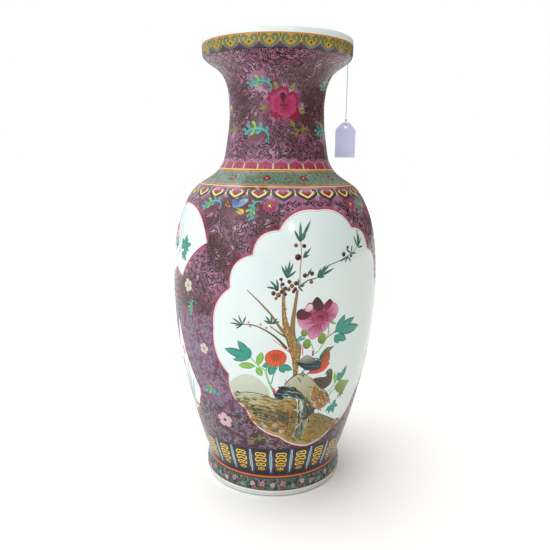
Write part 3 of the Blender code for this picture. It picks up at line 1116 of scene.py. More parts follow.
def acanthus(pigment="turquoise", second="leaf"):
    """A swirling spray about 46 mm long: an S-shaped rib with leaflets that curl back."""
    rib = [(-21, -9), (-13, -2), (-3, 3), (8, 4), (16, 0), (19, -6)]
    shapes = [stroke(rib, (1.2, 3.8, 5.8, 5.4, 3.8, 1.6), pigment, 4, halo=0.6)]
    leaflets = (
        (-16, -4, 62, 8, 1), (-10, 0, 48, 10, 1), (-3, 3, 30, 11, 1), (5, 4, 12, 9, 1),
        (12, 2, -20, 7, 1), (-12, -2, -28, 8, -1), (-4, 1, -22, 9, -1), (5, 2, -44, 8, -1),
    )
    for k, (x, y, turn, length, side) in enumerate(leaflets):
        curl = [(0, 0), (0.5 * side, 0.5), (-0.7 * side, 0.85), (-2.2 * side, 0.8), (-2.4 * side, 0.5)]
        line = [(u, v * length) for u, v in curl]
        tone = second if k in (2, 6) else pigment
        leaf = stroke(line, (2.6, 4.6, 3.6, 2.2, 0.6), tone, 2, halo=0.5)
        shapes.append(leaf.moved(x, y, turn if side > 0 else turn + 180, raised=0.02 + 0.02 * (k % 3)))
    eye = spiral(1.0, 0.9, 3.2, 8) + (18, -8)
    shapes.append(stroke(eye, (2.2, 1.8, 1.6, 0.8), pigment, 2, halo=0.36).moved(raised=0.04))
    return joined(shapes)


def butterfly():
    """A butterfly in flight seen from the side, about 38 mm across."""
    upper = smooth_path([(-3, -3), (-1, 6), (5, 14), (13, 18), (17, 14), (13, 6), (6, 0)], 3, True)[::-1]
    front = smooth_path([(-4, -2), (-8, 5), (-7, 13), (-2, 18), (3, 15), (4, 7), (1, -1)], 3, True)[::-1]
    lower = smooth_path([(1, -3), (8, -1), (15, -1), (18, -6), (13, -10), (6, -8)], 3, True)[::-1]
    shapes = [
        patch(lower, "olive", "line_yellow", 20.0),
        patch(upper, "blue", "squiggle_blue", 50.0).moved(raised=0.04),
        patch(front, "blue", "navy", 80.0).moved(raised=0.09),
        stroke([(9, -4), (0, -4), (-8, -3)], (1.0, 3.2, 2.2), "leaf_dark", 3).moved(raised=0.14),
    ]
    for x, y, tone in (
        (13, 13, "yellow"), (-3, 14, "yellow"), (13, -6, "bloom"), (7, 11, "squiggle_blue")
    ):
        shapes.append(dab(x, y, 2.4, tone).moved(raised=0.2))
    for line in ([(1, 0), (6, 8), (12, 14)], [(-3, 1), (-3, 8), (-1, 14)], [(3, -3), (9, -4), (14, -7)]):
        shapes.append(stroke(line, (0.6, 0.9, 0.4), "navy", 2, fine=True).moved(raised=0.22))
    for line in ([(-8, -2), (-14, 1), (-17, 6)], [(-8, -3), (-14, -3), (-19, 0)]):
        shapes.append(stroke(line, (0.6, 0.5, 0.9), "yellow", 3, fine=True))
    return joined(shapes)


# The scene in a large reserve --------------------------------------------------------------------


def branches():
    """The old trunk with its forks, twigs and stippled bark."""
    trunk = [
        (-29, 186), (-29.5, 200), (-30, 214), (-32, 226), (-38, 240), (-44, 254), (-47, 268),
        (-48, 288), (-47, 300)
    ]
    fork = [(-33, 228), (-36, 246), (-36, 262), (-34, 280), (-31, 300)]
    shapes = [
        stroke(
            [(-42, 226), (-54, 239), (-66, 248), (-81, 255), (-94, 256), (-107, 253)],
            (3.4, 2.4, 1.7, 1.3, 0.8), "bark_dark", 4
        ),
        stroke(
            [(-40, 240), (-52, 254), (-63, 270), (-80, 288), (-92, 299)], (5.0, 3.4, 2.4, 1.7, 1.0),
            "bark", 4
        ),
        stroke([(-42, 240), (-54, 248), (-64, 256)], (2.4, 1.6, 0.8), "bark_dark", 4),
        stroke([(-33, 222), (-44, 231), (-58, 242)], (1.6, 1.0, 0.4), "bloom", 4).moved(-2.5, -3),
        stroke(trunk, (4.5, 7, 11, 16, 12, 8, 5.4, 4.0, 2.6), "bark", 4, halo=0.2),
        stroke(fork, (8, 7, 5.4, 4.2, 3.0), "bark", 4, halo=0.24),
        stroke([(-22, 216), (-22, 224), (-25, 232)], (1.2, 1.4, 0.4), "bloom", 4),
        stroke([(-46, 298), (-51, 304), (-50, 312)], (2.2, 1.6, 0.8), "bark", 4),
        stroke([(-28, 300), (-28, 322), (-26, 340), (-26, 358)], (1.3, 1.1, 1.0, 0.9), "amber", 4),
        stroke(
            [(-30, 302), (-18, 311), (-6, 314), (7, 326), (34, 334), (50, 341), (64, 348)],
            (1.6, 1.4, 1.2, 1.1, 0.9, 0.6), "needle", 4
        ),
    ]
    draw = np.random.default_rng(5)
    for height in np.arange(192, 290, 0.9):
        middle = np.interp(height, (190, 214, 226, 240, 254, 290), (-29, -30, -32, -38, -44, -48))
        half = np.interp(height, (190, 212, 226, 240, 290), (2.0, 4.6, 7.0, 5.2, 1.2))
        for x in middle + draw.uniform(-half, half, 3 if half > 3 else 1):
            tone = "gold_dot" if draw.random() < 0.62 else "stipple"
            shapes.append(dab(x, height, draw.uniform(0.8, 1.5), tone, count=6).moved(raised=0.13))
    return shapes


def needles(x, y, tips, width=2.3, pigment="needle"):
    """A tuft of narrow leaves from one place to their tips."""
    shapes = []
    for k, (tip_x, tip_y) in enumerate(tips):
        length = np.hypot(tip_x - x, tip_y - y)
        turn = degrees(np.arctan2(x - tip_x, tip_y - y))
        leaf = blade_leaf(x, y, length, width, turn, pigment, length * 0.05, "leaf_dark")
        shapes.append(leaf.moved(raised=0.01 * k))
    return shapes


def twig_leaves_and_berries():
    tufts = (
        (-27, 357, ((-25, 380), (-12, 383), (-33, 370), (-19, 366), (-24, 368)), 3.4),
        (-24, 338, ((-14, 351), (-16, 342), (-20, 347)), 2.4),
        (-44, 314, ((-41, 336), (-51, 329), (-33, 324), (-37, 333), (-46, 330)), 3.0),
        (-54, 301, ((-65, 311), (-69, 303), (-57, 313), (-61, 306)), 2.8),
        (-30, 303, ((-22, 306), (-24, 298), (-31, 314), (-20, 311)), 2.4),
        (-19, 315, ((-14, 326), (-17, 323)), 2.0),
        (-6, 314, ((5, 329), (17, 325), (4, 315), (-2, 325), (11, 330)), 3.2),
        (60, 345, ((60, 370), (68, 357), (72, 346), (51, 360), (64, 362)), 2.8),
        (46, 339, ((36, 345), (48, 350), (56, 339)), 2.4),
        (40, 336, ((27, 330), (35, 328), (46, 329)), 2.4),
        (-98, 255, ((-104, 267), (-112, 262), (-115, 255), (-94, 267), (-106, 249)), 2.4),
        (-62, 258, ((-70, 268), (-63, 271), (-55, 266), (-52, 262), (-72, 262)), 2.6),
    )
    shapes = []
    for k, (x, y, tips, width) in enumerate(tufts):
        shapes += needles(x, y, tips, width, ("needle", "teal_dark")[k % 2])
    berries = (
        (-60, 296, 5.6), (-54, 294, 6), (-50, 298, 5.4), (-56, 301, 4.6), (-46, 302, 5), (-42, 301, 5),
        (-49, 307, 4.6), (-51, 313, 4.2), (-41, 310, 5), (-38, 305, 5.4), (-33, 308, 5.4),
        (-34, 301, 5), (-30, 339, 7.8), (-32, 353, 4.8), (-22, 352, 5), (-22, 317, 5.6),
        (-13, 319, 5.4), (-14, 309, 5), (33, 339, 6.2), (46, 336, 4.4), (40, 347, 4.0), (-57, 290, 4.0),
        (-36, 298, 4.4), (-46, 295, 4.4),
    )
    for k, (x, y, across) in enumerate(berries):
        tone = "amber" if k % 4 == 1 else None
        shapes.append(dab(x, y, across, "berry", tone, 12, 0.3).moved(raised=0.05))
        glint = dab(x - across * 0.16, y + across * 0.18, across * 0.24, "amber", count=6)
        shapes.append(glint.moved(raised=0.31))
    for x, y in ((-68, 253), (-75, 257), (-88, 254), (-62, 254), (-66, 259), (-90, 259)):
        shapes.append(dab(x, y, 3.0, "amber", "peony_pale", 8))
    return shapes


def peony():
    """The large flower, its leaves, buds and stems."""
    outline = [
        (-31, 263), (-32, 271), (-28, 276), (-22, 277), (-18, 283), (-12, 284), (-7, 290), (-2, 287),
        (3, 280), (8, 284), (12, 286), (16, 282), (22, 277), (25, 270), (22, 262), (17, 258), (12, 256),
        (10, 250), (5, 245), (-2, 244), (-6, 238), (-11, 236), (-16, 241), (-19, 250), (-26, 254),
    ][::-1]
    shapes = [
        stroke(
            [(11, 257), (12, 245), (10, 236), (-1, 220), (-6, 217)], (1.6, 1.7, 1.6, 1.4, 1.2), "leaf",
            4
        ),
        stroke([(10, 236), (17, 240), (24, 244)], (1.2, 1.2, 1.0), "maroon", 4),
        stroke([(-14, 234), (-9, 226), (-7, 218)], (1.6, 1.4, 1.2), "leaf", 4),
        stroke([(-8, 221), (-8, 214)], (3.4, 2.2), "peony", 4),
    ]
    shapes += loop_patches((
        (outline, "peony_pale", "maroon", 90.0, 0.0),
        (
            [(-30, 262), (-16, 264), (-8, 260), (-12, 252), (-20, 249), (-27, 254)], "peony_pale",
            "pink", 60.0, 0.10
        ),
        (
            [(-18, 250), (-6, 256), (4, 254), (4, 245), (-5, 238), (-11, 236), (-16, 241)],
            "peony_pale", "crimson", 80.0, 0.12
        ),
        (
            [(0, 258), (12, 262), (18, 258), (12, 254), (9, 248), (3, 245)], "peony_pale", "crimson",
            120.0, 0.15
        ),
        (
            [(10, 278), (17, 281), (23, 277), (25, 269), (20, 262), (12, 264)], "pink", "peony_pale",
            20.0, 0.11
        ),
        (
            [(-31, 265), (-32, 272), (-27, 276), (-20, 273), (-12, 270), (-17, 264), (-24, 262)],
            "maroon", "peony_dark", 120.0, 0.14
        ),
        (
            [(-12, 283), (-7, 290), (-2, 287), (3, 279), (0, 271), (-8, 273)], "peony_dark",
            "peony_brown", 90.0, 0.17
        ),
        (
            [(3, 279), (8, 284), (12, 286), (16, 281), (12, 274), (5, 272)], "crimson", "peony_dark",
            90.0, 0.15
        ),
        (
            [(-22, 276), (-17, 282), (-12, 281), (-12, 275), (-18, 272)], "peony_pale", "white_line",
            80.0, 0.19
        ),
        (
            [(-14, 268), (-4, 273), (8, 270), (10, 262), (2, 256), (-8, 258)], "pink", "crimson", 70.0,
            0.20
        ),
        ([(-9, 264), (-2, 268), (5, 265), (4, 259), (-3, 257)], "peony_dark", "peony", 250.0, 0.24),
    ))
    for root, tip in (
        ((-8, 262), (-25, 270)), ((-9, 260), (-26, 265)), ((-8, 258), (-23, 257)),
        ((-6, 257), (-16, 247)),
        ((-3, 256), (-10, 241)), ((0, 256), (-3, 243)), ((3, 257), (6, 247)), ((5, 259), (14, 257)),
        ((6, 262), (22, 266)), ((6, 265), (20, 274)), ((4, 267), (11, 280)), ((0, 268), (-4, 284)),
        ((-4, 268), (-10, 281)),
    ):
        middle = ((root[0] + tip[0]) / 2 + 1, (root[1] + tip[1]) / 2 + 1)
        shapes.append(
            stroke([root, middle, tip], (1.0, 0.8, 0.2), "crimson", 3, fine=True).moved(raised=0.33)
        )
    for place, tip, width in (
        ((22, 240), (36, 264), 11), ((24, 242), (67, 245), 14), ((24, 244), (55, 258), 11),
        ((24, 238), (43, 229), 11), ((22, 238), (30, 226), 9)
    ):
        shapes += needles(*place, (tip,), width, "teal")
    shapes += needles(-30, 236, ((-24, 243), (-26, 230), (-19, 240)), 4, "turquoise")
    shapes += needles(12, 257, ((24, 253), (19, 262)), 3.4, "leaf")
    for x, y, size in ((-21, 246, 9), (-17, 231, 11), (3, 236, 12)):
        shapes.append(
            patch(round_outline(x, y, size, size * 1.2, 14), "leaf", "olive", 240.0).moved(raised=0.03)
        )
        for bend in (-0.22, 0.2):
            rib = [(x + bend * size * 0.3, y - size * 0.5), (x + bend * size, y), (x, y + size * 0.55)]
            shapes.append(stroke(rib, (0.5, 0.6, 0.3), "leaf_dark", 3, fine=True).moved(raised=0.17))
    return shapes


def bloom_and_leaves():
    """The orange bloom on the left with its two kinds of leaves."""
    shapes = [
        stroke([(-55, 168), (-61, 180), (-66, 196), (-60, 206)], (2.2, 2.2, 1.8, 1.4), "leaf", 4),
        stroke([(-58, 178), (-56, 192), (-52, 202)], (1.6, 1.5, 1.2), "turquoise", 4),
        stroke([(-66, 196), (-76, 203), (-86, 213)], (1.5, 1.4, 1.0), "leaf", 4),
        stroke([(-52, 163), (-56, 173)], (3.0, 4.0, 1.6), "peony", 4),
    ]
    for tip, width in (((-122, 219), 12), ((-105, 233), 11), ((-93, 227), 8), ((-109, 206), 8)):
        shapes += needles(-86, 213, (tip,), width, "teal")
    for place, tip, width in (
        ((-77, 203), (-73, 222), 9), ((-79, 202), (-102, 200), 9), ((-78, 201), (-70, 189), 8.4)
    ):
        shapes += needles(*place, (tip,), width, "leaf")
    for place, tip, width in (
        ((-56, 206), (-60, 190), 11), ((-58, 207), (-71, 201), 8), ((-50, 205), (-33, 198), 9),
        ((-50, 204), (-42, 194), 8)
    ):
        shapes += needles(*place, (tip,), width, "teal")
    shapes.append(
        patch(
            round_outline(-55, 213.5, 27, 23, 28), "bloom", "line_orange", 250.0, 0.26
        ).moved(raised=0.10)
    )
    for k in range(11):
        a = 2 * pi * k / 11
        curl = [
            (1.5 * cos(a), 2 + 1.2 * sin(a)),
            (7 * cos(a + 0.35), 1.2 + 5.4 * sin(a + 0.35)),
            (12.4 * cos(a + 0.1), 10.4 * sin(a + 0.1)),
        ]
        shapes.append(
            stroke(curl, (1.1, 0.9, 0.4), "bloom_line", 4, fine=True).moved(-55, 213.5, raised=0.34)
        )
    ring = [(5.4 * cos(a), 2 + 4.2 * sin(a)) for a in np.linspace(0, 2 * pi, 9)[:-1]]
    shapes.append(stroke(ring, 0.7, "bloom_line", 3, True, True).moved(-55, 213.5, raised=0.36))
    return shapes


def birds():
    """Two birds on the rock, one red-breasted and one plain."""
    shapes = [
        stroke([(-14, 197), (-20, 194), (-24, 181)], (2.0, 1.2, 0.7), "ink_line", 3),
        stroke([(-20, 193), (-14, 187), (-14, 177)], (1.2, 1.0, 0.7), "ink_line", 2),
        stroke([(-9, 194), (-14, 187), (-6, 169)], (1.6, 1.1, 0.7), "ink_line", 3),
        stroke([(-6, 178), (2, 170), (5, 163)], (1.0, 0.9, 0.6), "ink_line", 3),
        stroke([(-30, 208), (-20, 203), (-8, 200)], (0.6, 2.4, 1.2), "ink_line", 4).moved(raised=0.20),
        stroke([(-8, 211), (0, 209), (7, 206)], (1.0, 1.6, 1.0), "plume_slate", 4).moved(raised=0.20),
        stroke([(16, 222), (19, 222), (22.5, 224)], (2.2, 1.5, 0.4), "ink_line", 3).moved(raised=0.16),
        dab(14.6, 220.4, 1.9, "blossom_white", count=8).moved(raised=0.28),
        dab(14.6, 220.4, 1.1, "ink_line", count=8).moved(raised=0.40),
    ]
    shapes += loop_patches((
        (
            [(-25, 210), (-17, 216), (-8, 212), (-3, 206), (-12, 202), (-22, 205)], "plume_slate",
            "plume_grey", 100.0, 0.0
        ),
        (
            [(-13, 191), (-2, 189), (9, 191), (15, 197), (17, 202), (6, 202), (-2, 197)], "plume_red",
            "bloom", 80.0, 0.06
        ),
        (
            [(5, 202), (15, 203), (17, 210), (15, 218), (9, 219), (3, 212)], "plume_rust", "amber",
            300.0, 0.10
        ),
        (
            [(1, 211), (6, 219), (12, 223), (18, 222), (17, 218), (10, 216), (5, 209)], "plume_teal",
            "olive", 60.0, 0.14
        ),
        (
            [(-29, 208), (-12, 204), (-1, 208), (5, 203), (4, 195), (-10, 194), (-21, 199)],
            "plume_teal", "ink_line", 180.0, 0.12
        ),
        (
            [
                (-5, 181), (4, 183), (13, 182), (18, 186), (24, 182), (24, 172), (18, 166), (10, 165),
                (2, 171)
            ],
            "plume_slate", "bark_dark", 0.0, 0.08
        ),
        ([(16, 183), (14, 189), (18, 192.5), (23, 190), (24, 181)], "plume_slate", "bark", 80.0, 0.12),
    ))
    for k in range(8):
        start = (-20 + 2.9 * k, 202.6 - 0.4 * k)
        line = [start, (start[0] + 4.6, start[1] - 2.2)]
        barb = stroke(line, (0.8, 0.3), ("squiggle_blue", "teal")[k % 2], 2, fine=True)
        shapes.append(barb.moved(raised=0.29))
    shapes += [
        stroke(
            [(16, 189), (13.4, 187.5), (12.5, 184.5)], (2.0, 1.2, 0.4), "ink_line", 3
        ).moved(raised=0.14),
        stroke([(-3, 180), (6, 178), (14, 172)], (0.6, 1.2, 0.5), "ink_line", 3).moved(raised=0.22),
        dab(18, 189.5, 1.5, "blossom_white", count=8).moved(raised=0.26),
        dab(18, 189.5, 0.8, "ink_line", count=8).moved(raised=0.38),
    ]
    return shapes


def crag(points, pigment, second, grain, marks, lean, count, raised, seed):
    """A facet of rock and the brush marks that shade it."""
    edge = smooth_path(points, 2, True)
    if (edge[:, 0] * np.roll(edge[:, 1], -1) - edge[:, 1] * np.roll(edge[:, 0], -1)).sum() < 0:
        edge = edge[::-1]
    shapes = [patch(edge, pigment, second, grain, 0.12).moved(raised=raised)]
    draw = np.random.default_rng(seed)
    places = draw.uniform(edge.min(0), edge.max(0), (count * 4, 2))
    for k, (x, y) in enumerate(places[inside(edge, places)][: round(count * 1.7)]):
        length = draw.uniform(4, 14)
        bend = draw.uniform(-2.4, 2.4)
        line = [(-length / 2, 0), (0, bend), (length / 2, -0.4 * bend)]
        mark = stroke(line, (0.3, draw.uniform(0.9, 3.2), 0.3), marks[k % len(marks)], 2)
        shapes.append(mark.moved(x, y, lean + draw.normal(0, 14), raised=raised + 0.13 + 0.012 * (k % 5)))
    return shapes


def rocks():
    """The rock and the sloping ground that fill the foot of the panel."""
    outline = RESERVE_SHAPES["large"]
    inset = outline.mean(0) + (outline - outline.mean(0)) * 0.984
    foot = inset[(inset[:, 1] < 152) & ((inset[:, 0] < 0) | (inset[:, 1] < 106))]
    brow = [(44, 107), (30, 115), (16, 124), (4, 130), (-14, 132), (-38, 148), (-58, 153), (-80, 157)]
    dark = ("rock_black", "rock_green", "bark_dark")
    warm = ("rock_gold", "bark_dark", "amber", "rock_ochre")
    shapes = [
        loop_patch(
            [
                (-114, 172), (-104, 184), (-92, 190), (-77, 187), (-66, 177), (-59, 167), (-63, 158),
                (-100, 154), (-108, 162)
            ][::-1],
            "moss_wash", "wash", 90.0, 0.08
        )
    ]
    pieces = (
        (
            list(map(tuple, foot)) + brow, "rock_sand", "rock_gold", 0.0,
            ("rock_ochre", "rock_green", "rock_gold", "rock_green"), -24, 60, 0.02
        ),
        (
            [
                (-104, 160), (-92, 162), (-75, 162), (-60, 160), (-44, 154), (-42, 142), (-60, 144),
                (-80, 146), (-96, 150)
            ],
            "rock_pale", "rock_sand", 0.0, ("rock_sand", "bark", "rock_green"), -12, 26, 0.04
        ),
        (
            [(-90, 144), (-70, 146), (-46, 140), (-30, 128), (-34, 118), (-56, 124), (-76, 128)],
            "rock_sand", "rock_green", 0.0, dark, -14, 44, 0.06
        ),
        (
            [(-84, 126), (-66, 124), (-48, 122), (-34, 112), (-42, 104), (-58, 110), (-72, 118)],
            "rock_gold", "rock_green", 0.0, warm, -28, 20, 0.06
        ),
        (
            [
                (5, 128), (24, 119), (42, 108), (46, 101), (36, 95), (14, 87), (-2, 83), (-8, 94),
                (-2, 112)
            ],
            "rock_gold", "rock_gold", 0.0, ("rock_ochre", "rock_green", "bark", "rock_gold"), -30, 46,
            0.08
        ),
        (
            [
                (-42, 178), (-31, 188), (-22, 191), (-7, 184), (6, 171), (19, 155), (24, 146),
                (20, 138), (7, 135), (-11, 141), (-24, 158), (-35, 168)
            ],
            "rock_pale", "rock_gold", 305.0, ("rock_gold", "rock_pale", "rock_ochre"), 120, 16, 0.10
        ),
        (
            [(-6, 172), (6, 168), (19, 154), (24, 145), (19, 138), (8, 136), (-4, 146)], "rock_gold",
            "amber", 290.0, ("bark_dark", "amber", "rock_pale", "rock_gold"), 125, 30, 0.12
        ),
        (
            [(-46, 154), (-34, 158), (-25, 155), (-22, 143), (-31, 136), (-42, 136), (-50, 143)],
            "rock_sand", "rock_gold", 300.0, warm, 150, 12, 0.12
        ),
        (
            [(-34, 138), (-24, 138), (-20, 120), (-22, 98), (-28, 90), (-36, 108), (-40, 124)],
            "rock_gold", "rock_ochre", 90.0, warm, 80, 20, 0.14
        ),
        (
            [(-16, 132), (-4, 128), (-4, 112), (-8, 98), (-16, 92), (-22, 108)], "rock_green",
            "rock_pale", 60.0, dark + ("rock_pale",), 100, 18, 0.16
        ),
        (
            [(-12, 154), (-2, 146), (4, 138), (-2, 126), (-10, 120), (-18, 128), (-14, 142)],
            "rock_green", "rock_black", 270.0, dark, 110, 22, 0.18
        ),
        (
            [(-22, 156), (-14, 148), (-13, 138), (-10, 128), (-14, 119), (-20, 130), (-22, 143)],
            "rock_pale", "wash", 90.0, ("rock_green",), 95, 3, 0.22
        ),
        (
            [
                (-52, 158), (-50, 168), (-45, 175), (-36, 173), (-28, 172), (-18, 164), (-11, 154),
                (-16, 150), (-25, 157), (-35, 160), (-44, 155)
            ],
            "rock_black", "rock_green", 20.0, ("ink_line", "rock_black", "squiggle_blue", "ink_line"),
            160, 26, 0.20
        ),
        (
            [(-38, 137), (-28, 128), (-24, 118), (-34, 116), (-46, 128)], "rock_black", "rock_green",
            0.0, dark, -30, 10, 0.18
        ),
    )
    for k, (points, first, second, grain, marks, lean, count, raised) in enumerate(pieces):
        shapes += crag(points, first, second, grain, marks, lean, count, raised, 30 + k)
    for line in (
        [(-42, 176), (-36, 184), (-28, 191), (-18, 191)],
        [(-104, 160), (-88, 164), (-66, 162), (-48, 152)],
        [(6, 172), (14, 163), (24, 148), (20, 138), (12, 134)],
        [(8, 130), (22, 121), (40, 110), (52, 105)],
    ):
        shapes.append(stroke(line, (0.4, 1.0, 0.8, 0.3), "rock_black", 4, fine=True).moved(raised=0.26))
    for x, y, size, tone in (
        (-60, 114, 8, "blossom_white"), (-64, 118, 5, "blue"), (-47, 115, 10, "amber"),
        (-38, 107, 8, "rock_pale")
    ):
        shapes.append(dab(x, y, size, tone, "rock_pale", 10).moved(raised=0.2))
    return shapes


def sprig():
    """The bud on its stem at the right of the rock."""
    shapes = [
        stroke([(22, 150), (28, 158), (36, 163)], (1.2, 1.2, 1.0), "needle", 4),
        stroke([(19, 157), (26, 164), (31, 170)], (1.1, 0.9, 0.6), "needle", 4),
        stroke([(18, 146), (26, 140), (32, 134)], (1.1, 0.9, 0.6), "needle", 4),
        loop_patch(
            [
                (32, 164), (40, 171), (50, 168), (60, 165), (55, 158), (50, 150), (42, 151), (35, 156)
            ][::-1],
            "olive", "leaf", 60.0
        ).moved(raised=0.04),
        stroke([(34, 158), (44, 164), (56, 163)], (0.5, 1.0, 0.4), "amber", 3).moved(raised=0.2),
    ]
    shapes += needles(38, 170, ((48, 191), (33, 184), (41, 184)), 8, "teal")
    shapes += needles(31, 168, ((26, 186), (31, 180)), 4.6, "leaf")
    shapes += needles(44, 152, ((40, 142), (47, 142), (52, 146)), 3, "olive")
    shapes += needles(32, 136, ((22, 127), (28, 122), (38, 121), (44, 131), (38, 142)), 6, "teal")
    return shapes


# Operators --------------------------------------------------------------------------------------


class Step(bpy.types.Operator):
    """One step of the making."""

    bl_options = {"REGISTER", "UNDO"}

    def execute(self, context):
        self.make(context.scene)
        return {"FINISHED"}


class VASE_OT_studio(Step):
    """Adds the camera, the floor and the lights"""

    bl_idname = "vase.studio"
    bl_label = "Studio"

    def make(self, scene):
        looks = scene.vase_studio
        data = bpy.data.cameras.new("camera")
        data.lens = looks.focal_length
        data.sensor_width = 36.0
        data.clip_start = 0.01
        camera = bpy.data.objects.new("camera", data)
        camera.matrix_world = (
            Matrix.Translation((0.0, -looks.camera_distance, looks.camera_height))
            @ Matrix.Rotation(pi / 2 - looks.camera_pitch, 4, "X")
            @ Matrix.Rotation(looks.camera_roll, 4, "Z")
        )
        scene.collection.objects.link(camera)
        scene.camera = camera
        self.floor()
        for name, place, size, power, tint in (
            ("key", (-1.7, -1.5, 1.3), 1.4, 10.0, (0.96, 0.99, 1.0)),
            ("window", (0.50, -1.5, 1.15), 0.16, 1.6, (0.97, 0.99, 1.0)),
            ("overhead", (-0.2, 0.2, 2.2), 2.4, 26.0, (1.0, 1.0, 1.0)),
        ):
            light = bpy.data.lights.new(name, "AREA")
            light.size = size
            light.energy = power
            light.color = tint
            lamp = bpy.data.objects.new(name, light)
            lamp.location = place
            aim = Vector((0.0, 0.0, 0.3)) - Vector(place)
            lamp.rotation_euler = aim.to_track_quat("-Z", "Y").to_euler()
            scene.collection.objects.link(lamp)
        world = bpy.data.worlds.new("studio")
        world.use_nodes = True
        self.sky(world.node_tree)
        scene.world = world
        scene.view_settings.view_transform = "Standard"

    def sky(self, tree):
        """White to the camera; to everything else bright overhead and dimmer, warmer on the right."""
        sky = Nodes(tree)
        place = sky.node("ShaderNodeTexCoord", output="Generated")
        across = sky.node("ShaderNodeSeparateXYZ", {0: place}, "X")
        upward = sky.node("ShaderNodeSeparateXYZ", {0: place}, "Z")
        seen = sky.node("ShaderNodeLightPath", output="Is Camera Ray")
        tint = sky.mix(sky.spread(across, -0.5, 0.6), (1.14, 1.18, 1.20), (0.24, 0.205, 0.16))
        rise = sky.spread(upward, 0.0, 1.0, 0.42, 1.6)
        power = sky.node("ShaderNodeMath", {0: rise, 1: seen}, operation="MAXIMUM")
        backdrop = tree.nodes["Background"]
        sky.feed(backdrop.inputs["Color"], sky.mix(seen, tint, (1.0, 1.0, 1.0)))
        sky.feed(backdrop.inputs["Strength"], power)

    def floor(self):
        bpy.ops.object.select_all(action="DESELECT")
        bpy.ops.mesh.primitive_plane_add(size=12.0, location=(0.0, 0.0, -0.0005))
        piece = added("floor")
        edit(piece)
        bpy.ops.mesh.subdivide(number_cuts=3)
        close_edit()
        place_in_mesh(piece)
        piece.data.materials.append(finish_of("studio_floor"))


def hanging_plane():
    """The upright plane of the thread: its outward direction, and where the thread leaves the lip."""
    swing = next(joint for joint in frame["joints"] if joint["name"] == "thread_swing")
    place = Vector(swing["pos_m"])
    outward = Vector((place.x, place.y, 0.0)).normalized()
    return outward, place


def thread_route():
    """The thread's points, from the tape up inside the mouth, over the lip and down to the knot."""
    outward, leave = hanging_plane()
    side = np.hypot(leave.x, leave.y)
    middle = radius(LIP_LEVEL) - WALL / 2
    reach_out = side - middle
    inside_run = middle - reach_out
    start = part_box("thread_over_lip")[0].z
    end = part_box("thread_hanging")[0].z
    flat = [(inside_run, z) for z in np.linspace(start, leave.z, 5)[:-1]]
    flat += [(middle - reach_out * cos(a), leave.z + reach_out * sin(a)) for a in np.linspace(0, pi, 13)]
    flat += [(side, z) for z in np.linspace(leave.z, end, 40)[1:]]
    return [Vector((r * outward.x, r * outward.y, z)) for r, z in flat]


def twisted_tube(name, points, across, twist=0.0026, closed=False):
    """A thread of two plies along the points: a tube whose section turns as it runs."""
    places = np.array([tuple(p) for p in points])
    if closed:
        step = np.roll(places, -1, 0) - np.roll(places, 1, 0)
    else:
        step = np.gradient(places, axis=0)
    step /= np.linalg.norm(step, axis=1)[:, None]
    outward, _ = hanging_plane()
    flat = np.cross(outward, (0.0, 0.0, 1.0)) if not closed else np.array(outward)
    first = np.cross(step, flat)
    first /= np.linalg.norm(first, axis=1)[:, None]
    second = np.cross(step, first)
    run = np.concatenate([[0.0], np.cumsum(np.linalg.norm(np.diff(places, axis=0), axis=1))])
    sides = 10
    turn = np.arange(sides) * 2 * pi / sides
    phase = turn[None] + 0 * run[:, None]
    r = across / 2 * (0.86 + 0.14 * np.cos(2 * (phase - 2 * pi * run[:, None] / twist)))
    rings = places[:, None] + r[..., None] * (
        np.cos(phase)[..., None] * first[:, None] + np.sin(phase)[..., None] * second[:, None]
    )
    count = len(places)
    faces = []
    for i in range(count if closed else count - 1):
        j = (i + 1) % count
        for k in range(sides):
            m = (k + 1) % sides
            faces.append((i * sides + k, i * sides + m, j * sides + m, j * sides + k))
    if not closed:
        faces.append(tuple(range(sides))[::-1])
        faces.append(tuple((count - 1) * sides + k for k in range(sides)))
    mesh = bpy.data.meshes.new(name)
    mesh.from_pydata([tuple(p) for p in rings.reshape(-1, 3)], [], faces)
    piece = bpy.data.objects.new(name, mesh)
    bpy.context.scene.collection.objects.link(piece)
    edit(piece)
    bpy.ops.mesh.normals_make_consistent(inside=False)
    close_edit(radians(60))
    return piece


def resampled(points, step):
    places = np.array([tuple(p) for p in points])
    run = np.concatenate([[0.0], np.cumsum(np.linalg.norm(np.diff(places, axis=0), axis=1))])
    marks = np.linspace(0, run[-1], int(run[-1] / step) + 1)
    return np.stack([np.interp(marks, run, places[:, i]) for i in range(3)], 1)


